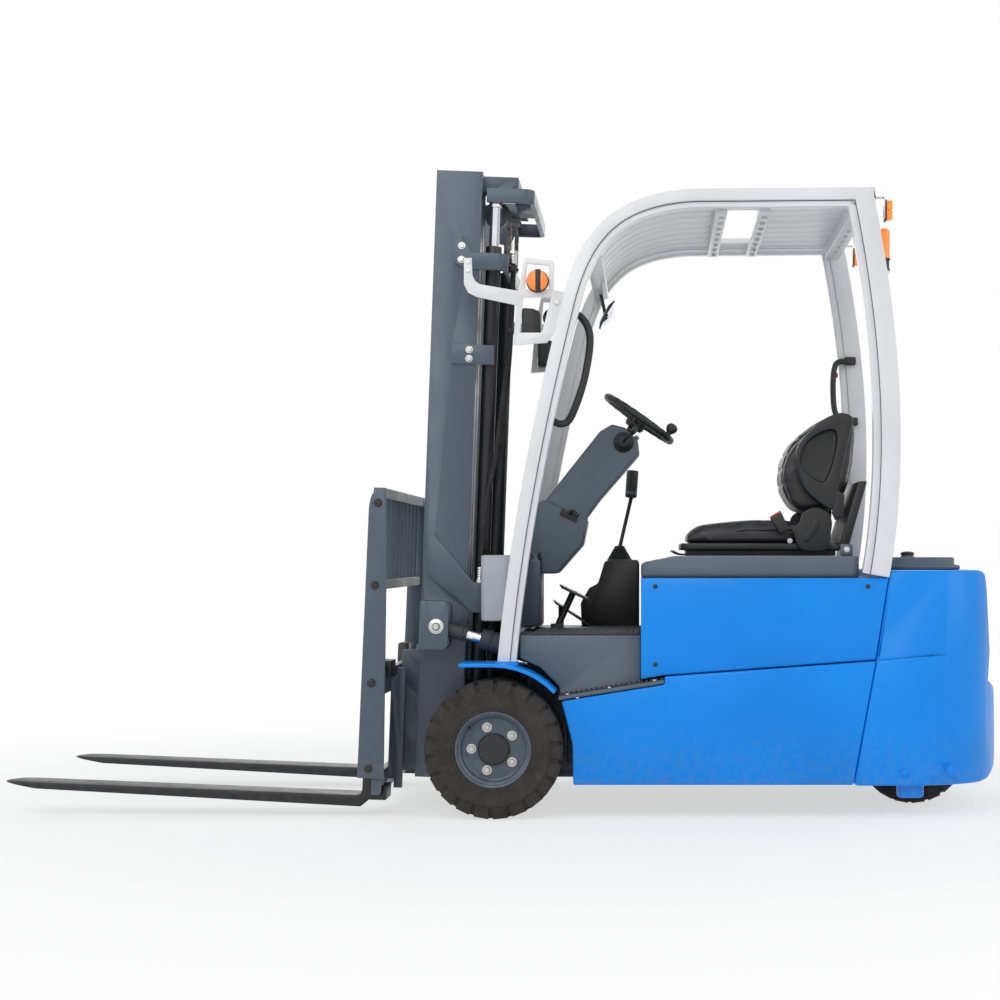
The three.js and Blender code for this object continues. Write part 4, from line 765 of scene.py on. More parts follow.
def add_rear_wheels():
    low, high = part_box("rear_tyre_left")
    centre = (low + high) / 2
    outer = (high.z - low.z) / 2
    half = (high.y - low.y) / 2
    for side, label in SIDES:
        place = Matrix.Translation((centre.x, centre.y * side, centre.z))
        tyre = moved(tyre_mesh(outer, 0.105, half, 20, 0.010), place)
        finish_mesh(
            f"tyre_rear_{label}", tyre, "tyre", "rear_wheels", [f"rear_tyre_{label}"], smooth=30
        )
        studs = moved(wheel_studs(side, 0.068, 5, 0.022, 0.018), place)
        finish_mesh(f"studs_rear_{label}", studs, "zinc", "rear_wheels")
    parts = [cylinder((centre.x, -0.110, centre.z), (centre.x, 0.110, centre.z), 0.022, 32)]
    for side, _ in SIDES:
        seat = [
            (0.0, 0.096), (0.093, 0.096), (0.097, 0.043), (0.105, 0.043), (0.105, 0.135),
            (0.101, 0.136), (0.097, 0.133), (0.092, 0.112), (0.046, 0.110), (0.042, 0.124),
            (0.0, 0.124),
        ]
        hub = turned([(r, h * side) for r, h in seat], (centre.x, 0, centre.z), segments=72)
        parts.append(hub)
    finish_mesh("rims_rear", parts, "slate", "rear_wheels", ["rear_hub"], smooth=30)


# ------------------------------------------------------------------ body panels and deck


def add_body_details():
    add_step_pads()
    add_floor_mat()
    add_weight_details()
    add_panel_trim()


# The slope of a boarding step, as (distance behind the front axle, height).
STEP_FRONT = (0.212, 0.402)
STEP_REAR = (0.559, 0.457)
TREAD_HALF = 0.0056
TREAD_ROWS = 3
TREAD_PITCH = 0.0153
TREAD_LENGTH = 0.0135


def on_step(slope, s, y=0.0, lift=0.0):
    """A point on the slope of a boarding step, s behind its front end."""
    return at(-STEP_FRONT[0] - slope.x * s, y, STEP_FRONT[1] + slope.y * s + lift)


def add_step_pads():
    """Ribbed rubber treads on the two boarding steps: cleats in pairs along the slope."""
    rise = Vector((STEP_REAR[0] - STEP_FRONT[0], STEP_REAR[1] - STEP_FRONT[1]))
    length = rise.length
    slope = rise.normalized()
    for side, label in SIDES:
        parts = []
        count = 21
        for k in range(count):
            s = length * (k + 0.5) / count
            near, far = on_step(slope, s - TREAD_HALF), on_step(slope, s + TREAD_HALF)
            cleat = [(near.x, near.z - 0.002), (far.x, far.z - 0.002)]
            cleat += [(far.x + 0.001, far.z + 0.007), (near.x - 0.001, near.z + 0.007)]
            for row in range(TREAD_ROWS):
                y0 = 0.4585 + row * TREAD_PITCH
                parts.append(prism(cleat, *spread(side, y0, y0 + TREAD_LENGTH)))
        finish_mesh(f"step_tread_{label}", parts, "plastic")
        add_step_screws(side, label, slope)


def add_step_screws(side, label, slope):
    parts = []
    for s in (0.03, 0.17, 0.32):
        place = on_step(slope, s, side * 0.4985, 0.0005)
        parts.append(hex_bolt(place, (slope.y, 0, slope.x), 0.010, 0.003))
    finish_mesh(f"step_screws_{label}", parts, "zinc")


def add_floor_mat():
    """The driver's mat: a thin pebbled sheet with a rolled edge and low ribs."""
    top = 0.6004
    low, high = at(-0.478, -0.196, top), at(-0.118, 0.452, top + 0.007)
    parts = [bevelled(block(low, high), 0.0035, 3)]
    for k in range(14):
        x = -0.455 + k * 0.024
        rib = block(at(x, 0.075, top + 0.006), at(x + 0.008, 0.43, top + 0.0088))
        parts.append(bevelled(rib, 0.0012, 2))
    finish_mesh("floor_mat", parts, "mat")


def add_weight_details():
    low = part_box("counterweight")[0]
    bolts = []
    for side, _ in SIDES:
        for x, z in ((-1.347, 0.152), (-1.50, 0.160)):
            bolts.append(hex_bolt(at(x, side * 0.4995, z), (0, side, 0), 0.020, 0.008))
    finish_mesh("weight_bolts", bolts, "blue")
    pocket = [
        (0.0, 0.0), (0.062, 0.0), (0.062, 0.012), (0.054, 0.016), (0.046, 0.012), (0.044, 0.002),
        (0.0, 0.002),
    ]
    rear = Vector((low.x, 0, 0.335))
    ring = turned(pocket, rear + Vector((0.020, 0, 0)), (-1, 0, 0), 48)
    finish_mesh("tow_ring", bevelled(ring, 0.001), "iron")
    pin = joined(
        [
            cylinder((low.x + 0.012, 0, 0.30), (low.x + 0.012, 0, 0.375), 0.012, 32),
            cylinder((low.x + 0.012, 0, 0.372), (low.x + 0.012, 0, 0.382), 0.019, 32, 0.003),
        ]
    )
    finish_mesh("tow_pin", pin, "zinc")
    cap_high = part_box("rear_cover")[1]
    dome = [(0, 0), (0.024, 0), (0.0245, 0.006), (0.021, 0.010), (0.008, 0.0125), (0, 0.0128)]
    cap = turned(dome, (AXLE_X - 1.428, 0, cap_high.z - 0.004), (0, 0, 1), 40)
    finish_mesh("cover_cap", cap, "plastic")


def add_panel_trim():
    """Round-headed screws on each side panel and the hood's seal along its top."""
    for side, label in SIDES:
        heads = []
        for x in (-0.53, -1.23):
            for z in (0.505, 0.762):
                place = at(x, side * 0.4848, z)
                dome = [(0, 0), (0.008, 0), (0.0075, 0.002), (0.005, 0.0036), (0, 0.0042)]
                heads.append(turned([(r, h) for r, h in dome], place, (0, side, 0), 20))
        finish_mesh(f"panel_screws_{label}", heads, "black")
        line = [at(-0.486, side * 0.474, 0.7915), at(-1.20, side * 0.474, 0.7915)]
        seal = swept([line[0].lerp(line[1], k / 12) for k in range(13)], 0.0035, 8)
        finish_mesh(f"hood_seal_{label}", seal, "hose")


# ------------------------------------------------------------------ overhead guard

DECK_SEAM = 0.5155
HOOD_SEAM = 0.7905
SLATS = 8
SLAT_PITCH = 0.106
SLAT_HALF = 0.049
SLAT_BEVEL = 0.0016
FRONT_LINE = (
    raised((-0.012, 0.515), (-0.062, 1.060), (-0.228, 1.716)),
    ((-0.228, 1.716), (-0.290, 1.950), (-0.410, 2.055), (-0.660, 2.068)),
)
ROOF_END = (-1.253, 2.073)
REAR_LINE = raised((-1.243, 2.073), (-1.395, 1.340), (-1.299, 0.791))


def front_samples(steps=26):
    made = bezier(*FRONT_LINE[0], steps) + bezier(*FRONT_LINE[1], steps)
    start = Vector(FRONT_LINE[1][3])
    end = Vector(ROOF_END)
    along = (end - start).normalized()
    return made + [(start, along), (end, along)]


def rear_samples(steps=30):
    made = bezier(*REAR_LINE, steps)
    end = Vector(REAR_LINE[3])
    along = (end - Vector(REAR_LINE[2])).normalized()
    return made + [(end, along)]


def shifted(outline):
    return [(AXLE_X + u, v) for u, v in outline]


def side_plate(outline, low, high):
    """An outline in the truck's side view, carried across it."""
    return prism(shifted(outline), low, high)


def spread(side, near, far):
    """Two distances from the middle plane, as a low and a high y on a side."""
    return sorted((side * near, side * far))


def guard_side_mesh(side):
    """A side frame's outer and stepped-in bands, and the blocks that cut their feet."""
    outer = spread(side, 0.440, 0.500)
    inner = spread(side, 0.446, 0.488)
    front, rear = front_samples(), rear_samples()
    bands = [
        ((front, 0.0, -0.040), (rear, 0.0, -0.062), outer),
        ((front, -0.0395, -0.061), (rear, -0.0615, -0.088), inner),
    ]
    feet = (
        block(at(-0.110, -0.6, 0.300), at(0.060, 0.6, 0.515)),
        block(at(-1.500, -0.6, 0.600), at(-1.000, 0.6, 0.7903)),
        block(at(-1.500, -0.6, 0.600), at(-1.302, 0.6, 0.8153)),
    )
    parts = []
    for ahead, behind, span in bands:
        bars = [side_plate(strip(*line), *span) for line in (ahead, behind)]
        parts.append(bevelled(combined(*bars, "UNION"), 0.0035, 3, 40))
    return parts, feet


def add_guard():
    for side, label in SIDES:
        parts, feet = guard_side_mesh(side)
        whole = joined([cut_by(part, *[foot.copy() for foot in feet]) for part in parts])
        node = f"guard_side_{label}"
        finish_mesh(f"guard_frame_{label}", whole, "white", replaces=[node], smooth=30)
        # painted shade: a dark strip laid in the corner where the bands' step is in shade
        add_guard_shade_strip(side, label)
    add_roof()


def add_guard_shade_strip(side, label):
    """Painted shade: a thin dark strip in the corner between the two bands of each leg, standing in for the
    step's shade.
    """
    parts = []
    y0, y1 = spread(side, 0.4879, 0.4895)
    for samples, near, far in ((front_samples(), -0.0400, -0.0418), (rear_samples(), -0.0620, -0.0638)):
        outline = strip(samples, near, far)
        outline = [(u, max(v, DECK_SEAM if u > -0.5 else HOOD_SEAM)) for u, v in outline]
        parts.append(side_plate(outline, y0, y1))
    # the strip is painted shade, not a real seal
    finish_mesh(f"guard_painted_shade_{label}", parts, "hose")


def slat_middles():
    return [(k - (SLATS - 1) / 2) * SLAT_PITCH for k in range(SLATS)]


def add_roof():
    """Eight pressed slats over four cross beams, open over the rear of the driver's head."""
    samples = front_samples(18)
    outline = shifted(strip(samples, -0.034, -0.040))
    legs = block(at(-0.340, -0.6, 0.400), at(0.060, 0.6, 1.846))
    bay = block(at(-0.876, -0.322, 1.900), at(-0.769, 0.322, 2.100))
    rear = block(at(-1.400, -0.6, 2.041), at(-1.200, 0.6, 2.100))
    parts = []
    for middle in slat_middles():
        slat = prism(outline, middle - SLAT_HALF, middle + SLAT_HALF)
        slat = cut_by(slat, legs.copy(), bay.copy(), rear.copy())
        parts.append(bevelled(slat, SLAT_BEVEL, 2, 40))
    for low, high in (
        ((-0.356, 1.838), (-0.300, 1.858)),
        ((-0.770, 1.996), (-0.730, 2.036)),
        ((-0.915, 1.998), (-0.875, 2.038)),
        ((-1.232, 1.990), (-1.176, 2.040)),
    ):
        beam = block(at(low[0], -0.4397, low[1]), at(high[0], 0.4397, high[1]))
        parts.append(bevelled(beam, 0.004, 3))
    finish_mesh("roof_slats", parts, "white", replaces=["guard_roof"], smooth=30)
    bolts = []
    for x in (-0.752, -0.897, -1.204):
        for middle in slat_middles():
            place = at(x, middle, 1.9975 if x > -1 else 1.9905)
            bolts.append(hex_bolt(place, (0, 0, -1), 0.014, 0.006))
    finish_mesh("roof_bolts", bolts, "zinc")


# ------------------------------------------------------------------ lamps, mirror and handles


def add_lamp_brackets():
    for side, label in SIDES:
        y0, y1 = spread(side, 0.452, 0.458)
        arm = [
            (0.102, 1.847), (0.076, 1.847), (0.074, 1.792), (0.066, 1.772), (0.049, 1.760),
            (-0.078, 1.738), (-0.097, 1.840), (-0.104, 1.847), (-0.192, 1.838), (-0.197, 1.830),
            (-0.194, 1.742), (-0.228, 1.734), (-0.1985, 1.600), (-0.172, 1.566), (-0.060, 1.558),
            (-0.072, 1.690), (0.060, 1.718), (0.088, 1.732), (0.102, 1.760),
        ]
        plate_mesh = side_plate(arm, y0, y1)
        window = [(-0.108, 1.828), (-0.180, 1.820), (-0.178, 1.744), (-0.100, 1.744)]
        lower = [(-0.094, 1.716), (-0.186, 1.716), (-0.156, 1.600), (-0.084, 1.600)]
        tools = [side_plate(hole, -0.6, 0.6) for hole in (window, lower)]
        cut_plate = cut_by(plate_mesh, *tools)
        fitting = bevelled(cut_plate, 0.0014, 2, 40)
        finish_mesh(
            f"lamp_plate_{label}", fitting, "white", replaces=[f"lamp_bracket_{label}"], smooth=30
        )
        add_front_indicator(side, label)
        add_work_lamp(side, label)
        bolts = [
            hex_bolt(at(0.088, side * 0.4578, z), (0, side, 0), 0.010, 0.005) for z in (1.834, 1.806)
        ]
        bolts.append(hex_bolt(at(-0.205, side * 0.4578, 1.70), (0, side, 0), 0.012, 0.006))
        finish_mesh(f"lamp_bolts_{label}", bolts, "zinc")


def drum(centre, axis, radius, length, ribs=0):
    """A lamp drum: domed front, ribbed side, lying along an axis."""
    profile = [(0, 0), (radius, 0)]
    for k in range(max(1, ribs)):
        share = length * 0.86 * (k + 1) / max(1, ribs)
        profile += [(radius, share - 0.002), (radius - 0.0012, share - 0.001), (radius, share)]
    profile += [(radius * 0.9, length * 0.97), (radius * 0.4, length), (0, length)]
    return turned(profile, centre, axis, 40)


def add_front_indicator(side, label):
    middle = at(-0.142, side * 0.458, 1.769)
    foot = cylinder(middle, middle + Vector((0, side * 0.007, 0)), 0.0375, 48, 0.002)
    finish_mesh(f"indicator_foot_{label}", foot, "plastic")
    lens_mesh = drum(middle + Vector((0, side * 0.007, 0)), (0, side, 0), 0.034, 0.030, 5)
    finish_mesh(f"indicator_lens_{label}", lens_mesh, "amber")
    band = block(
        middle + Vector((-0.012, min(side * 0.012, side * 0.0385), -0.0355)),
        middle + Vector((0.006, max(side * 0.012, side * 0.0385), 0.0355)),
    )
    finish_mesh(f"indicator_band_{label}", bevelled(band, 0.003, 2), "plastic")


def add_work_lamp(side, label):
    """The dark moulded work lamp that hangs inside the bracket and faces ahead."""
    rings = []
    for x, width, height, corner in (
        (-0.150, 0.020, 0.034, 0.010), (-0.146, 0.023, 0.044, 0.012), (-0.125, 0.0255, 0.052, 0.014),
        (-0.100, 0.0265, 0.054, 0.014), (-0.092, 0.0255, 0.053, 0.013), (-0.090, 0.0235, 0.050, 0.012),
    ):
        rings.append(rounded_ring(at(x, side * 0.4265, 1.630), width, height, corner))
    shell = grid(rings)
    finish_mesh(f"work_lamp_{label}", shell, "plastic", smooth=50)
    glass = [rounded_ring(at(x, side * 0.4265, 1.630), w, h, 0.010) for x, w, h in (
        (-0.0905, 0.022, 0.0485), (-0.0885, 0.021, 0.0475), (-0.0882, 0.016, 0.042),
    )]
    finish_mesh(f"work_lamp_lens_{label}", grid(glass), "lamp", smooth=50)


def rounded_ring(centre, half_y, half_z, corner, steps=6):
    """Points of a rounded rectangle that faces along x."""
    points = []
    for sign_y, sign_z, start in ((1, 1, 0), (-1, 1, 90), (-1, -1, 180), (1, -1, 270)):
        for k in range(steps + 1):
            angle = math.radians(start + 90 * k / steps)
            points.append(
                centre
                + Vector(
                    (
                        0,
                        sign_y * (half_y - corner) + corner * math.cos(angle),
                        sign_z * (half_z - corner) + corner * math.sin(angle),
                    )
                )
            )
    return points


def add_rear_lamps():
    for _, label in SIDES:
        low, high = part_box(f"rear_light_{label}")
        y0, y1 = low.y, high.y
        body = bevelled(block((low.x + 0.020, y0, 1.9655), (high.x - 0.0335, y1, 2.0335)), 0.004, 3)
        finish_mesh(f"rear_lamp_{label}", body, "plastic", replaces=[f"rear_light_{label}"])
        lens_parts = []
        for z0, z1 in ((1.968, 1.9985), (2.0005, 2.031)):
            glass = block((low.x, y0 + 0.003, z0), (low.x + 0.0205, y1 - 0.003, z1))
            lens_parts.append(bevelled(glass, 0.004, 3))
        finish_mesh(f"rear_lens_{label}", lens_parts, "amber")
        mid = (y0 + y1) / 2
        stay = joined(
            [
                block((high.x - 0.0345, mid - 0.018, 1.970), (high.x - 0.0300, mid + 0.018, 2.062)),
                block((high.x - 0.0345, mid - 0.014, 2.041), (high.x, mid + 0.014, 2.046)),
            ]
        )
        finish_mesh(f"rear_stay_{label}", bevelled(stay, 0.001), "zinc")


def add_beacon():
    low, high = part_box("beacon")
    centre = Vector((low.x + 0.024, low.y + 0.024, 0))
    base_z = high.z - 0.106
    profile = [(0, 0), (0.020, 0), (0.0215, 0.004), (0.0215, 0.012), (0.019, 0.016)]
    profile += [(0.0195, 0.038), (0.0225, 0.040), (0.0225, 0.046), (0, 0.046)]
    base = turned(profile, (centre.x, centre.y, high.z - 0.146), (0, 0, 1), 48)
    finish_mesh("beacon_base", base, "plastic", replaces=["beacon"])
    dome = [(0, 0), (0.0215, 0)]
    for k in range(14):
        z = 0.004 + k * 0.006
        dome += [(0.0215, z), (0.0205, z + 0.003)]
    dome += [(0.0215, 0.090), (0.0195, 0.099), (0.013, 0.1045), (0, 0.106)]
    cover = turned(dome, (centre.x, centre.y, base_z), (0, 0, 1), 48)
    finish_mesh("beacon_dome", cover, "amber", smooth=50)
    foot = [(0, 0), (0.017, 0), (0.022, 0.006), (0.022, 0.008), (0, 0.008)]
    seat = turned(foot, (centre.x, centre.y, low.z - 0.006), (0, 0, 1), 40)
    arm = block(
        (centre.x - 0.010, centre.y - 0.004, low.z + 0.002), (centre.x + 0.040, high.y, low.z + 0.007),
    )
    finish_mesh("beacon_stay", [seat, bevelled(arm, 0.001)], "zinc")


def add_handles():
    front = [(-0.215, 1.640), (-0.268, 1.668), (-0.312, 1.600), (-0.296, 1.460)]
    front += [(-0.252, 1.330), (-0.218, 1.302), (-0.178, 1.318)]
    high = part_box("grab_handle_front")[1]
    y = high.y - 0.0317
    line = smooth_line([at(x, y, z) for x, z in front], 12)

    def ribbed(share):
        grip = 0.25 < share < 0.72
        return 1.0 + (0.05 * math.sin(share * 620) if grip else -0.06)

    parts = [swept(smooth_line(line, 3), 0.0128, 20, ribbed)]
    for x0, x1, z0, z1 in ((-0.236, -0.196, 1.620, 1.655), (-0.196, -0.146, 1.296, 1.330)):
        parts.append(bevelled(block(at(x0, y - 0.002, z0), at(x1, high.y, z1)), 0.006, 3))
    finish_mesh("handle_front", parts, "plastic", replaces=["grab_handle_front"])
    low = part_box("grab_handle_rear")[0]
    y = low.y + 0.0317
    rear = [(-1.255, 1.600), (-1.215, 1.585), (-1.205, 1.500), (-1.215, 1.400), (-1.262, 1.370)]
    parts = [tube([at(x, y, z) for x, z in rear], 0.0108, 20, 12)]
    for x0, x1, z0, z1 in ((-1.292, -1.250, 1.585, 1.615), (-1.300, -1.256, 1.356, 1.386)):
        parts.append(bevelled(block(at(x0, low.y, z0), at(x1, y + 0.002, z1)), 0.005, 3))
    finish_mesh("handle_rear", parts, "plastic", replaces=["grab_handle_rear"])
    cap = [(0, 0), (0.009, 0), (0.009, 0.006), (0.006, 0.008), (0, 0.008)]
    button = turned(cap, at(-1.2225, y, 1.545), (1, 0, 0), 24)
    finish_mesh("horn_button", button, "red")


def add_mirror():
    centre = at(-0.352, -0.300, 1.760)
    ahead = Vector((math.cos(0.5), 0, math.sin(0.5)))
    dome = []
    for k in range(15):
        angle = 0.95 * k / 14
        dome.append((0.070 * math.sin(angle), 0.070 * math.cos(angle) - 0.040))
    rim = dome[-1]
    glass = turned([(0, rim[1])] + dome[::-1], centre, -ahead, 48)
    finish_mesh("mirror_glass", glass, "mirror", replaces=["mirror"], smooth=60)
    frame_ring = [
        (rim[0] - 0.003, rim[1] - 0.002),
        (rim[0] + 0.002, rim[1] - 0.002),
        (rim[0] + 0.0025, rim[1] + 0.003),
        (rim[0] - 0.001, rim[1] + 0.0045),
    ]
    back = [(0.0, rim[1] - 0.010), (0.040, rim[1] - 0.009), (rim[0], rim[1] - 0.002), (0.0, rim[1] - 0.0015)]
    parts = [turned(frame_ring, centre, -ahead, 48), turned(back, centre, -ahead, 48)]
    stalk = [at(-0.347, -0.300, 1.757), at(-0.338, -0.300, 1.80), at(-0.330, -0.300, 1.8355)]
    parts.append(tube(stalk, 0.0062, 16))
    finish_mesh("mirror_frame", parts, "plastic")


# ------------------------------------------------------------------ seat

SEAT_VOXEL = 0.006
CUSHION = {"rear": -1.083, "front": -0.630, "low": 0.912, "half": 0.218}
CUSHION_TOP = (
    (-1.083, 0.960), (-0.980, 0.976), (-0.870, 0.977), (-0.797, 0.972), (-0.683, 0.960), (-0.630, 0.942),
)


def level_at(line, x):
    """The height of a line of (x, z) points, given from the rear forwards."""
    for (a, low), (b, high) in zip(line, line[1:]):
        if x <= b:
            return low + (high - low) * max(0.0, (x - a) / (b - a))
    return line[-1][1]


def stuffed(mesh, travel, floor=None):
    """A cover blown up from inside: remeshed, swollen as cloth, its travel capped."""
    mesh = with_modifiers(mesh, ("REMESH", {"mode": "VOXEL", "voxel_size": SEAT_VOXEL}))
    start = [vertex.co.copy() for vertex in mesh.vertices]
    swell(mesh, start, travel)
    mesh = with_modifiers(mesh, ("SMOOTH", {"factor": 0.5, "iterations": 14}))
    if floor is not None:
        for vertex in mesh.vertices:
            vertex.co.z = max(vertex.co.z, floor)
    return with_modifiers(mesh, ("SUBSURF", {"levels": 1}))


def swell(mesh, start, travel):
    """Twenty steps of cloth under pressure, with no weight."""
    holder = linked("stuffing", mesh)
    scene = bpy.context.scene
    cloth = holder.modifiers.new("cloth", "CLOTH")
    cloth.settings.use_pressure = True
    cloth.settings.uniform_pressure_force = 4
    cloth.settings.effector_weights.gravity = 0
    for step in range(1, 21):
        scene.frame_set(step)
    blown = holder.evaluated_get(bpy.context.evaluated_depsgraph_get()).data
    moved_to = [vertex.co.copy() for vertex in blown.vertices]
    bpy.data.objects.remove(holder)
    for vertex, before, after in zip(mesh.vertices, start, moved_to):
        way = after - before
        if way.length > travel:
            way *= travel / way.length
        vertex.co = before + way
    scene.frame_set(1)


def sewn(mesh, depth_at):
    """Draws the cover in along its seams: depth_at gives the depth at a point and normal."""
    depths = [depth_at(vertex.co, vertex.normal) for vertex in mesh.vertices]
    normals = [vertex.normal.copy() for vertex in mesh.vertices]
    for vertex, depth, normal in zip(mesh.vertices, depths, normals):
        vertex.co = vertex.co - normal * depth
    return mesh


def groove(distance, depth, width):
    return depth * math.exp(-((distance / width) ** 2))


def cushion_seams(point, normal):
    """Two seams along the bolsters, one across the rear and one round the skirt."""
    x, y, z = point.x - AXLE_X, abs(point.y), point.z
    depth = 0.0
    if normal.z > 0.2:
        bolster = 0.150 + 0.015 * math.cos((x + 0.86) * 5)
        depth += groove(y - bolster, 0.006, 0.005)
        depth += groove(x + 0.905, 0.006, 0.006) if y < 0.155 else 0.0
        if y < 0.145:
            depth += sum(groove(x + mark, 0.003, 0.006) for mark in (0.72, 0.78, 0.84))
    else:
        depth += groove(z - 0.950, 0.004, 0.0045)
    return depth


def add_cushion():
    low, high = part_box("seat_cushion")
    c = CUSHION
    rings = []
    steps = 18
    for k in range(steps + 1):
        share = k / steps
        x = c["rear"] + (c["front"] - c["rear"]) * share
        nose = max(0.0, (share - 0.86) / 0.14)
        top = level_at(CUSHION_TOP, x) - 0.010 * nose**2
        half = c["half"] * (1 - 0.05 * (2 * share - 1) ** 4 - 0.07 * nose**2)
        rings.append(cushion_ring(x, half, c["low"], top))
    mesh = stuffed(grid(rings), 0.011, low.z + 0.0006)
    sewn(mesh, cushion_seams)
    for vertex in mesh.vertices:
        vertex.co.x = min(max(vertex.co.x, low.x + 0.001), high.x + 0.004)
        vertex.co.y = min(max(vertex.co.y, low.y - 0.004), high.y + 0.004)
        vertex.co.z = min(vertex.co.z, high.z + 0.010)
    piece = finish_mesh("cushion_cover", mesh, "vinyl", SEAT_HOOD, ["seat_cushion"], smooth=60)


def cushion_ring(x, half, low, top):
    """A section across the cushion: bolsters at the sides and a shallow dish between."""
    points = [at(x, -half, low)]
    count = 16
    for k in range(count + 1):
        y = -half + 2 * half * k / count
        share = abs(y) / half
        edge = max(0.0, (share - 0.86) / 0.14)
        dish = -0.010 * math.cos(min(share / 0.7, 1.0) * math.pi / 2)
        points.append(at(x, y * (1 - 0.01 * edge), top + dish - 0.020 * edge**2))
    points.append(at(x, half, low))
    return points


BACK_PAD = (
    (-1.030, 1.016), (-0.986, 1.080), (-0.971, 1.138), (-0.978, 1.190), (-1.000, 1.236),
    (-1.044, 1.282), (-1.096, 1.320), (-1.152, 1.348), (-1.196, 1.356), (-1.218, 1.340),
    (-1.222, 1.300), (-1.208, 1.150), (-1.150, 1.030),
)
BACK_WING = (
    (-1.022, 1.238), (-1.046, 1.274), (-1.088, 1.316), (-1.132, 1.344), (-1.172, 1.355),
    (-1.204, 1.345), (-1.211, 1.328), (-1.204, 1.293), (-1.180, 1.188), (-1.162, 1.091),
    (-1.152, 1.040), (-1.134, 1.020), (-1.094, 1.046), (-1.054, 1.082), (-1.028, 1.132),
    (-1.018, 1.188),
)
WING_RECESS = (
    (-1.032, 1.198), (-1.052, 1.251), (-1.100, 1.285), (-1.144, 1.295), (-1.156, 1.266),
    (-1.144, 1.193), (-1.124, 1.135), (-1.105, 1.116), (-1.066, 1.135), (-1.037, 1.169),
)


def rounded_outline(outline, steps=5):
    """The outline through the same points as one smooth closed line."""
    count = len(outline)
    made = []
    for i in range(count):
        four = [Vector(outline[(i + k - 1) % count]) for k in range(4)]
        made += [between(*four, k / steps) for k in range(steps)]
    return [(point.x, point.y) for point in made]


def back_seams(point, normal):
    """The pad's side seams and its sewn channels."""
    x, y, z = point.x - AXLE_X, abs(point.y), point.z
    depth = 0.0
    if abs(normal.y) < 0.7 and x > -1.14:
        depth += groove(y - 0.118, 0.004, 0.005)
        if y < 0.114:
            depth += sum(groove(z - mark, 0.004, 0.006) for mark in (1.110, 1.165, 1.220, 1.275))
    return depth


def add_seat_wings():
    """The firm side shells of the back, each with its deep round-edged recess."""
    for side, label in SIDES:
        shell = side_plate(rounded_outline(BACK_WING, 5), 0.150, 0.214)
        hollow = side_plate(rounded_outline(WING_RECESS, 5), 0.190, 0.230)
        mesh = bevelled(cut_by(shell, hollow), 0.007, 4, 50)
        if side < 0:
            mesh.transform(Matrix.Scale(-1, 4, (0, 1, 0)))
            mesh.flip_normals()
        name = f"back_wing_{label}"
        finish_mesh(name, mesh, "plastic", SEAT_HOOD, smooth=50)
    spine = shifted(
        [(-1.155, 1.090), (-1.183, 1.073), (-1.180, 1.039), (-1.178, 0.995), (-1.150, 0.985), (-1.138, 1.010)]
    )
    parts = []
    for side, _ in SIDES:
        parts.append(bevelled(prism(spine, *spread(side, 0.2010, 0.2130)), 0.004, 3, 50))
    finish_mesh("back_spines", parts, "plastic", SEAT_HOOD)


def add_seat_back():
    low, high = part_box("seat_back")
    pad = side_plate(rounded_outline(BACK_PAD, 4), -0.150, 0.150)
    mesh = stuffed(pad, 0.008)
    sewn(mesh, back_seams)
    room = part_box("seat_base")[1].x
    for vertex in mesh.vertices:
        vertex.co.y = min(max(vertex.co.y, low.y - 0.004), high.y + 0.004)
        vertex.co.z = min(max(vertex.co.z, low.z - 0.004), high.z + 0.004)
        rear = seat_frame_face(vertex.co.z)
        if vertex.co.z < 1.126 and room > rear:
            vertex.co.x = max(vertex.co.x, rear)
    piece = finish_mesh("back_cover", mesh, "vinyl", SEAT_HOOD, ["seat_back"], smooth=60)


def seat_frame_face(z):
    """Just ahead of the front face of the steel frame that carries the back."""
    share = (z - 0.905) / (1.120 - 0.905)
    return AXLE_X - 1.165 - 0.067 * share + 0.0012


RECLINER = (
    (-0.993, 0.962), (-1.021, 0.971), (-1.036, 1.008), (-1.064, 1.026), (-1.095, 1.025),
    (-1.121, 1.010), (-1.135, 0.982), (-1.132, 0.942), (-1.118, 0.884), (-1.030, 0.884),
    (-1.007, 0.931),
)
RECLINER_PAD = (
    (-1.072, 0.994), (-1.091, 0.984), (-1.088, 0.955), (-1.054, 0.912), (-1.037, 0.914),
    (-1.040, 0.932), (-1.063, 0.962),
)


def add_recliners():
    for side, label in SIDES:
        shell = side_plate(rounded_outline(RECLINER, 5), *spread(side, 0.2385, 0.2520))
        pad = side_plate(rounded_outline(RECLINER_PAD, 5), *spread(side, 0.2510, 0.2550))
        mesh = joined([bevelled(shell, 0.004, 4, 50), bevelled(pad, 0.0015, 2, 50)])
        finish_mesh(f"recliner_{label}", mesh, "plastic", SEAT_HOOD, smooth=50)
        bolt = hex_bolt(at(-0.992, side * 0.2385, 0.914), (0, side, 0), 0.012, 0.005)
        finish_mesh(f"seat_bolt_{label}", bolt, "zinc", SEAT_HOOD)


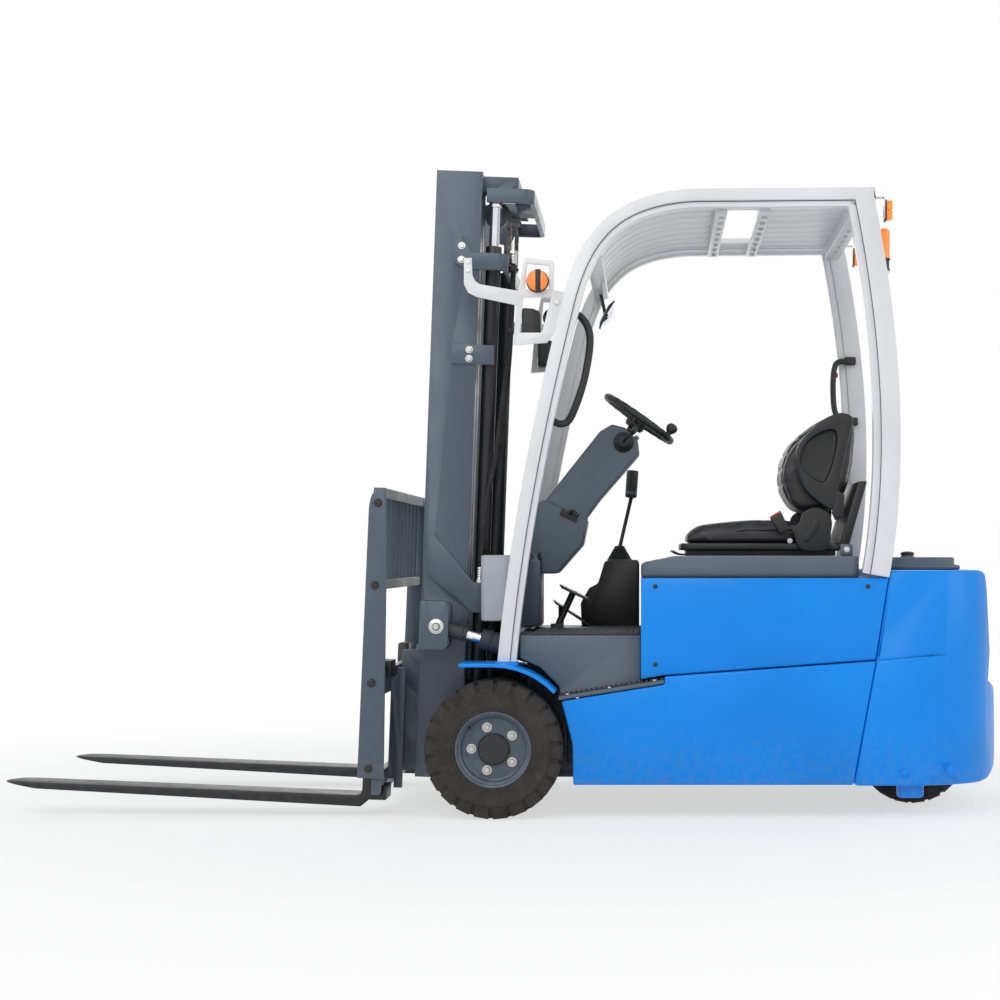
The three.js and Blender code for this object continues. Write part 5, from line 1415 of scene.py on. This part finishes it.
def add_seat_fittings():
    add_recliners()
    shell = shifted([(-0.923, 0.990), (-0.961, 1.013), (-0.990, 0.951), (-0.958, 0.937)])
    mesh = bevelled(prism(shell, 0.2385, 0.2575), 0.004, 3)
    finish_mesh("buckle", mesh, "plastic", SEAT_HOOD)
    top = shifted([(-0.9235, 0.9905), (-0.9610, 1.0135), (-0.9585, 1.0180), (-0.9215, 0.9955)])
    button = bevelled(prism(top, 0.2410, 0.2550), 0.001, 2)
    finish_mesh("buckle_button", button, "red", SEAT_HOOD)
    rod = [at(-0.592, 0.195, 0.8790), at(-0.622, 0.195, 0.8675), at(-0.700, 0.195, 0.8665)]
    back = [at(-0.700, -0.195, 0.8665), at(-0.622, -0.195, 0.8675), at(-0.592, -0.195, 0.8790)]
    handle = tube([*rod[::-1], *back[::-1]], 0.0032, 14, 8)
    finish_mesh("seat_adjuster", handle, "black", SEAT_HOOD)
    lug = bevelled(block(at(-1.187, 0.404, 0.8622), at(-1.146, 0.426, 0.902)), 0.006, 3)
    finish_mesh("hood_lug", lug, "hood", SEAT_HOOD)
    bolt = hex_bolt(at(-1.1665, 0.426, 0.884), (0, 1, 0), 0.013, 0.006)
    finish_mesh("hood_lug_bolt", bolt, "zinc", SEAT_HOOD)


def add_hood():
    """The seat hood, its front end sloping down and its upper edges broadly chamfered."""
    wedge = prism(
        shifted([(-0.600, 0.8625), (-0.470, 0.8340), (-0.470, 0.900), (-0.600, 0.900)]), -0.6, 0.6
    )
    mesh = cut_by(cad_mesh("hood_lid"), wedge)
    mesh = bevelled(mesh, 0.008, 3)
    finish_mesh("hood_cover", mesh, "hood", SEAT_HOOD, ["hood_lid"])


# ------------------------------------------------------------------ steering wheel

WHEEL_CENTRE = (-0.474, 0.0, 1.349)
WHEEL_TILT = math.radians(35)


def wheel_matrix():
    turn = Matrix.Rotation(-WHEEL_TILT, 4, "Y")
    return Matrix.Translation(at(*WHEEL_CENTRE)) @ turn


def add_steering_wheel():
    radius, grip = 0.135, 0.0130
    place = wheel_matrix()
    count = 120
    line = [Vector((radius * math.cos(a), radius * math.sin(a), 0)) for a in round_angles(count)]
    rings = []
    for k, point in enumerate(line):
        out = point.normalized()
        finger = grip * (1 - 0.035 * math.cos(2 * math.pi * k / 6))
        rings.append(
            [
                point + (out * math.cos(a) + Vector((0, 0, 1)) * math.sin(a)) * finger
                for a in round_angles(20)
            ]
        )
    parts = [grid(rings, closed_v=True, caps=False)]
    for k in range(3):
        angle = math.pi / 2 + k * 2 * math.pi / 3
        way = Vector((math.cos(angle), math.sin(angle), 0))
        path = [way * 0.024 + Vector((0, 0, -0.012)), way * 0.075 + Vector((0, 0, -0.009)), way * 0.133]
        parts.append(tube(path, 0.0105, 16, 8, lambda s: 1.0 - 0.28 * math.sin(math.pi * s)))
    hub = [(0, -0.040), (0.030, -0.040), (0.036, -0.030), (0.036, -0.006), (0.031, 0.002), (0, 0.004)]
    parts.append(turned(hub, (0, 0, 0), (0, 0, 1), 48))
    shaft = cylinder((0, 0, -0.068), (0, 0, -0.036), 0.0168, 32)
    parts.append(shaft)
    knob_angle = math.radians(150)
    foot = Vector((radius * math.cos(knob_angle), radius * math.sin(knob_angle), 0))
    profile = [(0, 0.006), (0.011, 0.006), (0.0095, 0.016), (0.0160, 0.023), (0.0205, 0.032)]
    profile += [(0.0200, 0.041), (0.0140, 0.0490), (0.006, 0.0518), (0, 0.052)]
    parts.append(turned(profile, foot, (0, 0, 1), 40))
    mesh = moved(joined(parts), place)
    node = "steering_wheel"
    finish_mesh("wheel_and_knob", mesh, "plastic", body_of(node), [node], smooth=45)
    cap = [(0, 0.003), (0.0225, 0.003), (0.0215, 0.0062), (0.012, 0.008), (0, 0.0084)]
    button = moved(turned(cap, (0, 0, 0), (0, 0, 1), 40), place)
    finish_mesh("horn_pad", button, "hood", body_of(node))


def add_column_details():
    """A stalk with its boot on each side of the column, and its lock lever on a plate."""
    rings = []
    for k in range(9):
        share = k / 8
        radius = 0.036 - 0.022 * share + (0.0025 if k % 2 else 0.0)
        rings.append((radius, share * 0.034))
    profile = [(0, 0), *rings, (0, 0.0345)]
    parts = []
    for side, _ in SIDES:
        parts.append(turned(profile, at(-0.420, side * 0.0715, 1.262), (0, side, 0), 32))
        end = at(-0.455, side * 0.205, 1.290)
        stalk = [at(-0.420, side * 0.100, 1.262), at(-0.432, side * 0.150, 1.272), end]
        parts.append(tube(stalk, 0.0058, 14))
        parts.append(tube([end, end + Vector((-0.008, side * 0.030, 0.007))], 0.0105, 18, 6))
    finish_mesh("column_stalks", parts, "plastic", smooth=45)
    y = 0.1002
    slot_plate = shifted([(-0.205, 1.030), (-0.262, 1.003), (-0.254, 0.978), (-0.196, 1.006)])
    lock = [bevelled(prism(slot_plate, y, y + 0.0025), 0.0008)]
    lever = [at(-0.233, 0.104, 1.010), at(-0.243, 0.126, 1.020), at(-0.262, 0.138, 1.000)]
    lock.append(tube(lever, 0.006, 14))
    finish_mesh("column_lock", lock, "plastic")


def add_lever_details():
    """The ribbed boot at the lever's foot and its grey grip."""
    rings = [(0, 0.0)]
    for k in range(13):
        share = k / 12
        radius = 0.0452 - 0.030 * share + (0.0028 if k % 2 else -0.0006)
        rings.append((radius, 0.052 * share))
    rings.append((0, 0.0525))
    boot = turned(rings, at(-0.400, -0.282, 0.8475), (0, 0, 1), 40)
    finish_mesh("lever_boot", boot, "hose", smooth=50)
    low, high = at(-0.442, -0.282, 1.078), at(-0.449, -0.282, 1.180)
    steps = 22
    line = [low.lerp(high, k / steps) for k in range(steps + 1)]

    def grip(share):
        end = min(1.0, 6 * min(share, 1 - share) + 0.30)
        return end * (0.94 + 0.06 * math.cos(share * 5))

    finish_mesh("lever_grip", swept(line, 0.0226, 28, grip), "hood", smooth=60)


# ------------------------------------------------------------------ chains, hoses and cylinders

CHAIN_LINE = {"y": 0.162, "front": 0.0480, "rear": -0.0450, "p": 0.0015, "q": 1.850, "radius": 0.0465}
LINK_PITCH = 0.0190


def link_plate(centre, along, across, thick, half_y, offset):
    """One side plate of a chain link: a flat bar with round ends."""
    outline = []
    for end, start in ((1, -90), (-1, 90)):
        for k in range(7):
            angle = math.radians(start + 30 * k)
            outline.append(
                centre
                + along * (end * LINK_PITCH / 2 + math.cos(angle) * thick)
                + across * (math.sin(angle) * thick)
            )
    sides = (offset - half_y, offset + half_y)
    return grid([[point + Vector((0, y, 0)) for point in outline] for y in sides])


def chain_mesh(points):
    """Leaf chain along a line of joints: plates in two staggered sets, and their pins."""
    parts = []
    for k, (a, b) in enumerate(zip(points, points[1:])):
        along = (b - a).normalized()
        across = along.cross(Vector((0, 1, 0)))
        offsets = (-0.0090, -0.0002, 0.0086) if k % 2 else (-0.0050, 0.0042)
        for offset in offsets:
            parts.append(link_plate((a + b) / 2, along, across, 0.0072, 0.0019, offset))
        pin = cylinder(a - Vector((0, 0.0112, 0)), a + Vector((0, 0.0112, 0)), 0.0032, 12, 0.0004)
        parts.append(pin)
    return joined(parts)


def straight(start, end):
    count = max(2, round((end - start).length / LINK_PITCH))
    return [start.lerp(end, k / count) for k in range(count + 1)]


def add_chains():
    c = CHAIN_LINE
    for side, label in SIDES:
        y = side * c["y"]
        node = f"lift_chain_{label}"
        top_front = on_mast(c["front"], y, c["q"])
        foot_front = on_mast(c["front"], y, 0.292)
        front = chain_mesh(straight(top_front, foot_front))
        piece = make_piece(f"chain_front_{label}", front, "chain", [node])
        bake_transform(piece)
        top_rear = on_mast(c["rear"], y, c["q"])
        foot_rear = on_mast(c["rear"], y, 1.702)
        rear = chain_mesh(straight(top_rear, foot_rear))
        piece = make_piece(f"chain_rear_{label}", rear, "chain")
        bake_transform(piece)
        wrap = []
        for k in range(9):
            angle = math.pi * k / 8
            p = c["p"] + c["radius"] * math.cos(angle)
            wrap.append(on_mast(p, y, c["q"] + c["radius"] * math.sin(angle)))
        finish_mesh(f"chain_wrap_{label}", chain_mesh(wrap), "chain", INNER)


OUTER_HOSE = (
    (-0.002, 0.328, 0.5845), (-0.004, 0.328, 0.700), (-0.014, 0.330, 0.860), (-0.038, 0.328, 1.000),
    (-0.050, 0.312, 1.150), (-0.060, 0.290, 1.300), (-0.070, 0.268, 1.480), (-0.070, 0.264, 1.720),
)
INNER_HOSE = (
    (-0.039, 0.290, 0.248), (-0.044, 0.290, 0.300), (-0.044, 0.290, 0.700), (-0.050, 0.284, 1.000),
    (-0.066, 0.256, 1.300), (-0.070, 0.240, 1.480), (-0.070, 0.240, 1.720),
)


def hose_fitting(start, end):
    """A crimped ferrule with its hexagon nut."""
    way = (end - start).normalized()
    length = (end - start).length
    profile = [(0, 0), (0.0105, 0), (0.0118, 0.002)]
    for k in range(4):
        share = length * (0.15 + 0.15 * k)
        profile += [(0.0118, share), (0.0106, share + 0.002), (0.0118, share + 0.004)]
    profile += [(0.0118, length * 0.78), (0, length * 0.78)]
    nut_at = start + way * length * 0.78
    nut = turned([(0, 0), (0.0138, 0), (0.0138, length * 0.2), (0, length * 0.2)], nut_at, way, 6)
    return joined([turned(profile, start, way, 28), nut])


def add_hoses():
    for name, points, replaced in (("outer", OUTER_HOSE, ["mast_hoses"]), ("inner", INNER_HOSE, [])):
        hose = tube([on_mast(*point) for point in points], 0.0080, 20, 14)
        finish_mesh(f"hose_{name}", hose, "hose", OUTER, replaced, smooth=60)
    fittings = [
        hose_fitting(on_mast(-0.0020, 0.328, 0.640), on_mast(-0.0020, 0.328, 0.586)),
        hose_fitting(on_mast(-0.070, 0.264, 1.676), on_mast(-0.070, 0.264, 1.722)),
        hose_fitting(on_mast(-0.070, 0.240, 1.676), on_mast(-0.070, 0.240, 1.722)),
    ]
    port = cylinder(on_mast(-0.0308, 0.290, 0.243), on_mast(-0.0430, 0.290, 0.243), 0.0118, 24)
    finish_mesh("hose_fittings", [*fittings, port], "zinc", OUTER)
    clamps = []
    for q in (1.440, 1.650):
        low, high = Vector((-0.0815, 0.2285, q)), Vector((-0.0585, 0.2800, q + 0.018))
        clamp = moved(bevelled(block(low, high), 0.003, 3), MAST_FRAME)
        clamps.append(clamp)
        clamps.append(hex_bolt(on_mast(-0.0812, 0.252, q + 0.009), -MAST_AHEAD, 0.010, 0.005))
    finish_mesh("hose_clamps", clamps, "plastic", OUTER)


def tilt_line():
    """The tilt cylinder's pin, its direction and its length, at rest."""
    start = at(-0.170, 0, 0.523)
    end = on_mast(0.127, 0, 0.439)
    return start, (end - start).normalized(), (end - start).length


def add_tilt_cylinders():
    start, way, length = tilt_line()
    for side, label in SIDES:
        across = Vector((0, side * (0.440 - 0.040), 0))
        base = start + across
        barrel = [
            (0, 0.040), (0.030, 0.040), (0.035, 0.045), (0.035, 0.188), (0.0332, 0.190),
            (0.0332, 0.193), (0.035, 0.195), (0.035, 0.226), (0.031, 0.230), (0.0183, 0.230),
            (0.0183, 0.060), (0, 0.060),
        ]
        case = turned(barrel, base, way, 56)
        neck = cylinder(base + way * 0.022, base + way * 0.046, 0.020, 32)
        eye = eye_ring(base, 0.028, 0.0152, 0.022)
        body = joined([case, neck, eye])
        node = f"tilt_barrel_{label}"
        finish_mesh(f"tilt_tube_{label}", body, "iron", body_of(node), [node])
        far = base + way * length
        shaft = cylinder(base + way * 0.105, base + way * (length - 0.080), 0.0174, 40)
        node = f"tilt_rod_{label}"
        finish_mesh(f"tilt_shaft_{label}", shaft, "chrome", body_of(node), [node])
        head = cylinder(base + way * (length - 0.090), base + way * (length - 0.030), 0.0248, 36, 0.002)
        ring = eye_ring(far, 0.032, 0.0162, 0.022)
        hexagon = [(0, 0), (0.026, 0), (0.026, 0.014), (0, 0.014)]
        nut = turned(hexagon, base + way * (length - 0.104), way, 6)
        finish_mesh(f"tilt_clevis_{label}", [head, ring, nut], "iron", body_of(node))


def eye_ring(centre, radius, hole, half):
    """A bored eye that lies across the truck."""
    profile = [
        (hole, -half), (radius - 0.002, -half), (radius, -half + 0.002), (radius, half - 0.002),
        (radius - 0.002, half), (hole, half),
    ]
    return turned(profile, centre, (0, 1, 0), 48)


def add_mast_bolts():
    """Bolts of the lift cylinders' clamps, the mast's ties, the tilt pins and the backrest."""
    parts = []
    for side, _ in SIDES:
        for q in (1.340, 1.370):
            parts.append(hex_bolt(on_mast(0.060, side * 0.3488, q), (0, side, 0), 0.016, 0.008))
        for q in (1.672, 1.718):
            parts.append(hex_bolt(on_mast(0.098, side * 0.3498, q), (0, side, 0), 0.016, 0.008))
        pin = on_mast(0.127, side * 0.4398, 0.439)
        washer = [(0, 0), (0.025, 0), (0.025, 0.003), (0.0235, 0.004), (0, 0.004)]
        parts.append(turned(washer, pin + Vector((0, side * 0.0002, 0)), (0, side, 0), 36))
        parts.append(hex_bolt(pin + Vector((0, side * 0.004, 0)), (0, side, 0), 0.020, 0.009, False))
    finish_mesh("mast_bolts", parts, "zinc", OUTER)
    heads = []
    for side, _ in SIDES:
        for q in (-0.030, 0.250, 0.570, 0.840):
            heads.append(hex_bolt(on_mast(0.322, side * 0.5202, q), (0, side, 0), 0.018, 0.007))
    finish_mesh("backrest_bolts", heads, "black", CARRIAGE)


# ------------------------------------------------------------------ carried-over nodes

SKINS = (
    ("chassis_frame", "iron", 0.0020),
    ("drive_axle", "iron", 0.0020),
    ("battery", "black", 0.0060),
    ("deck", "hood", 0.0040),
    ("rear_cover", "hood", 0.0060),
    ("steering_column", "hood", 0.0080),
    ("lever_console", "plastic", 0.0060),
    ("pedals", "black", 0.0020),
    ("seat_base", "plastic", 0.0040),
    ("steer_yoke", "iron", 0.0020),
    ("outer_mast", "slate", 0.0018),
    ("inner_mast", "slate", 0.0018),
    ("lift_barrels", "black", 0.0015),
    ("carriage", "slate", 0.0020),
    ("load_backrest", "slate", 0.0020),
    ("fork_left", "black", 0.0025),
    ("fork_right", "black", 0.0025),
    ("lift_rod_left", "chrome", 0.0010),
    ("lift_rod_right", "chrome", 0.0010),
    ("side_panel_left", "blue", 0.0040),
    ("side_panel_right", "blue", 0.0040),
    ("side_skirt_left", "blue", 0.0060),
    ("side_skirt_right", "blue", 0.0060),
    ("fender_left", "blue", 0.0030),
    ("fender_right", "blue", 0.0030),
    ("counterweight", "blue", 0.0100),
    ("front_cowl", "cowl", 0.0060),
)


def add_skins():
    for skin in SKINS:
        refined(*skin)


add_stage()
add_front_wheels()
add_rear_wheels()
add_skins()
add_guard()
add_body_details()
add_lamp_brackets()
add_rear_lamps()
add_beacon()
add_handles()
add_mirror()
add_cushion()
add_seat_back()
add_seat_wings()
add_hood()
add_seat_fittings()
add_steering_wheel()
add_column_details()
add_lever_details()
add_chains()
add_hoses()
add_tilt_cylinders()
add_mast_bolts()
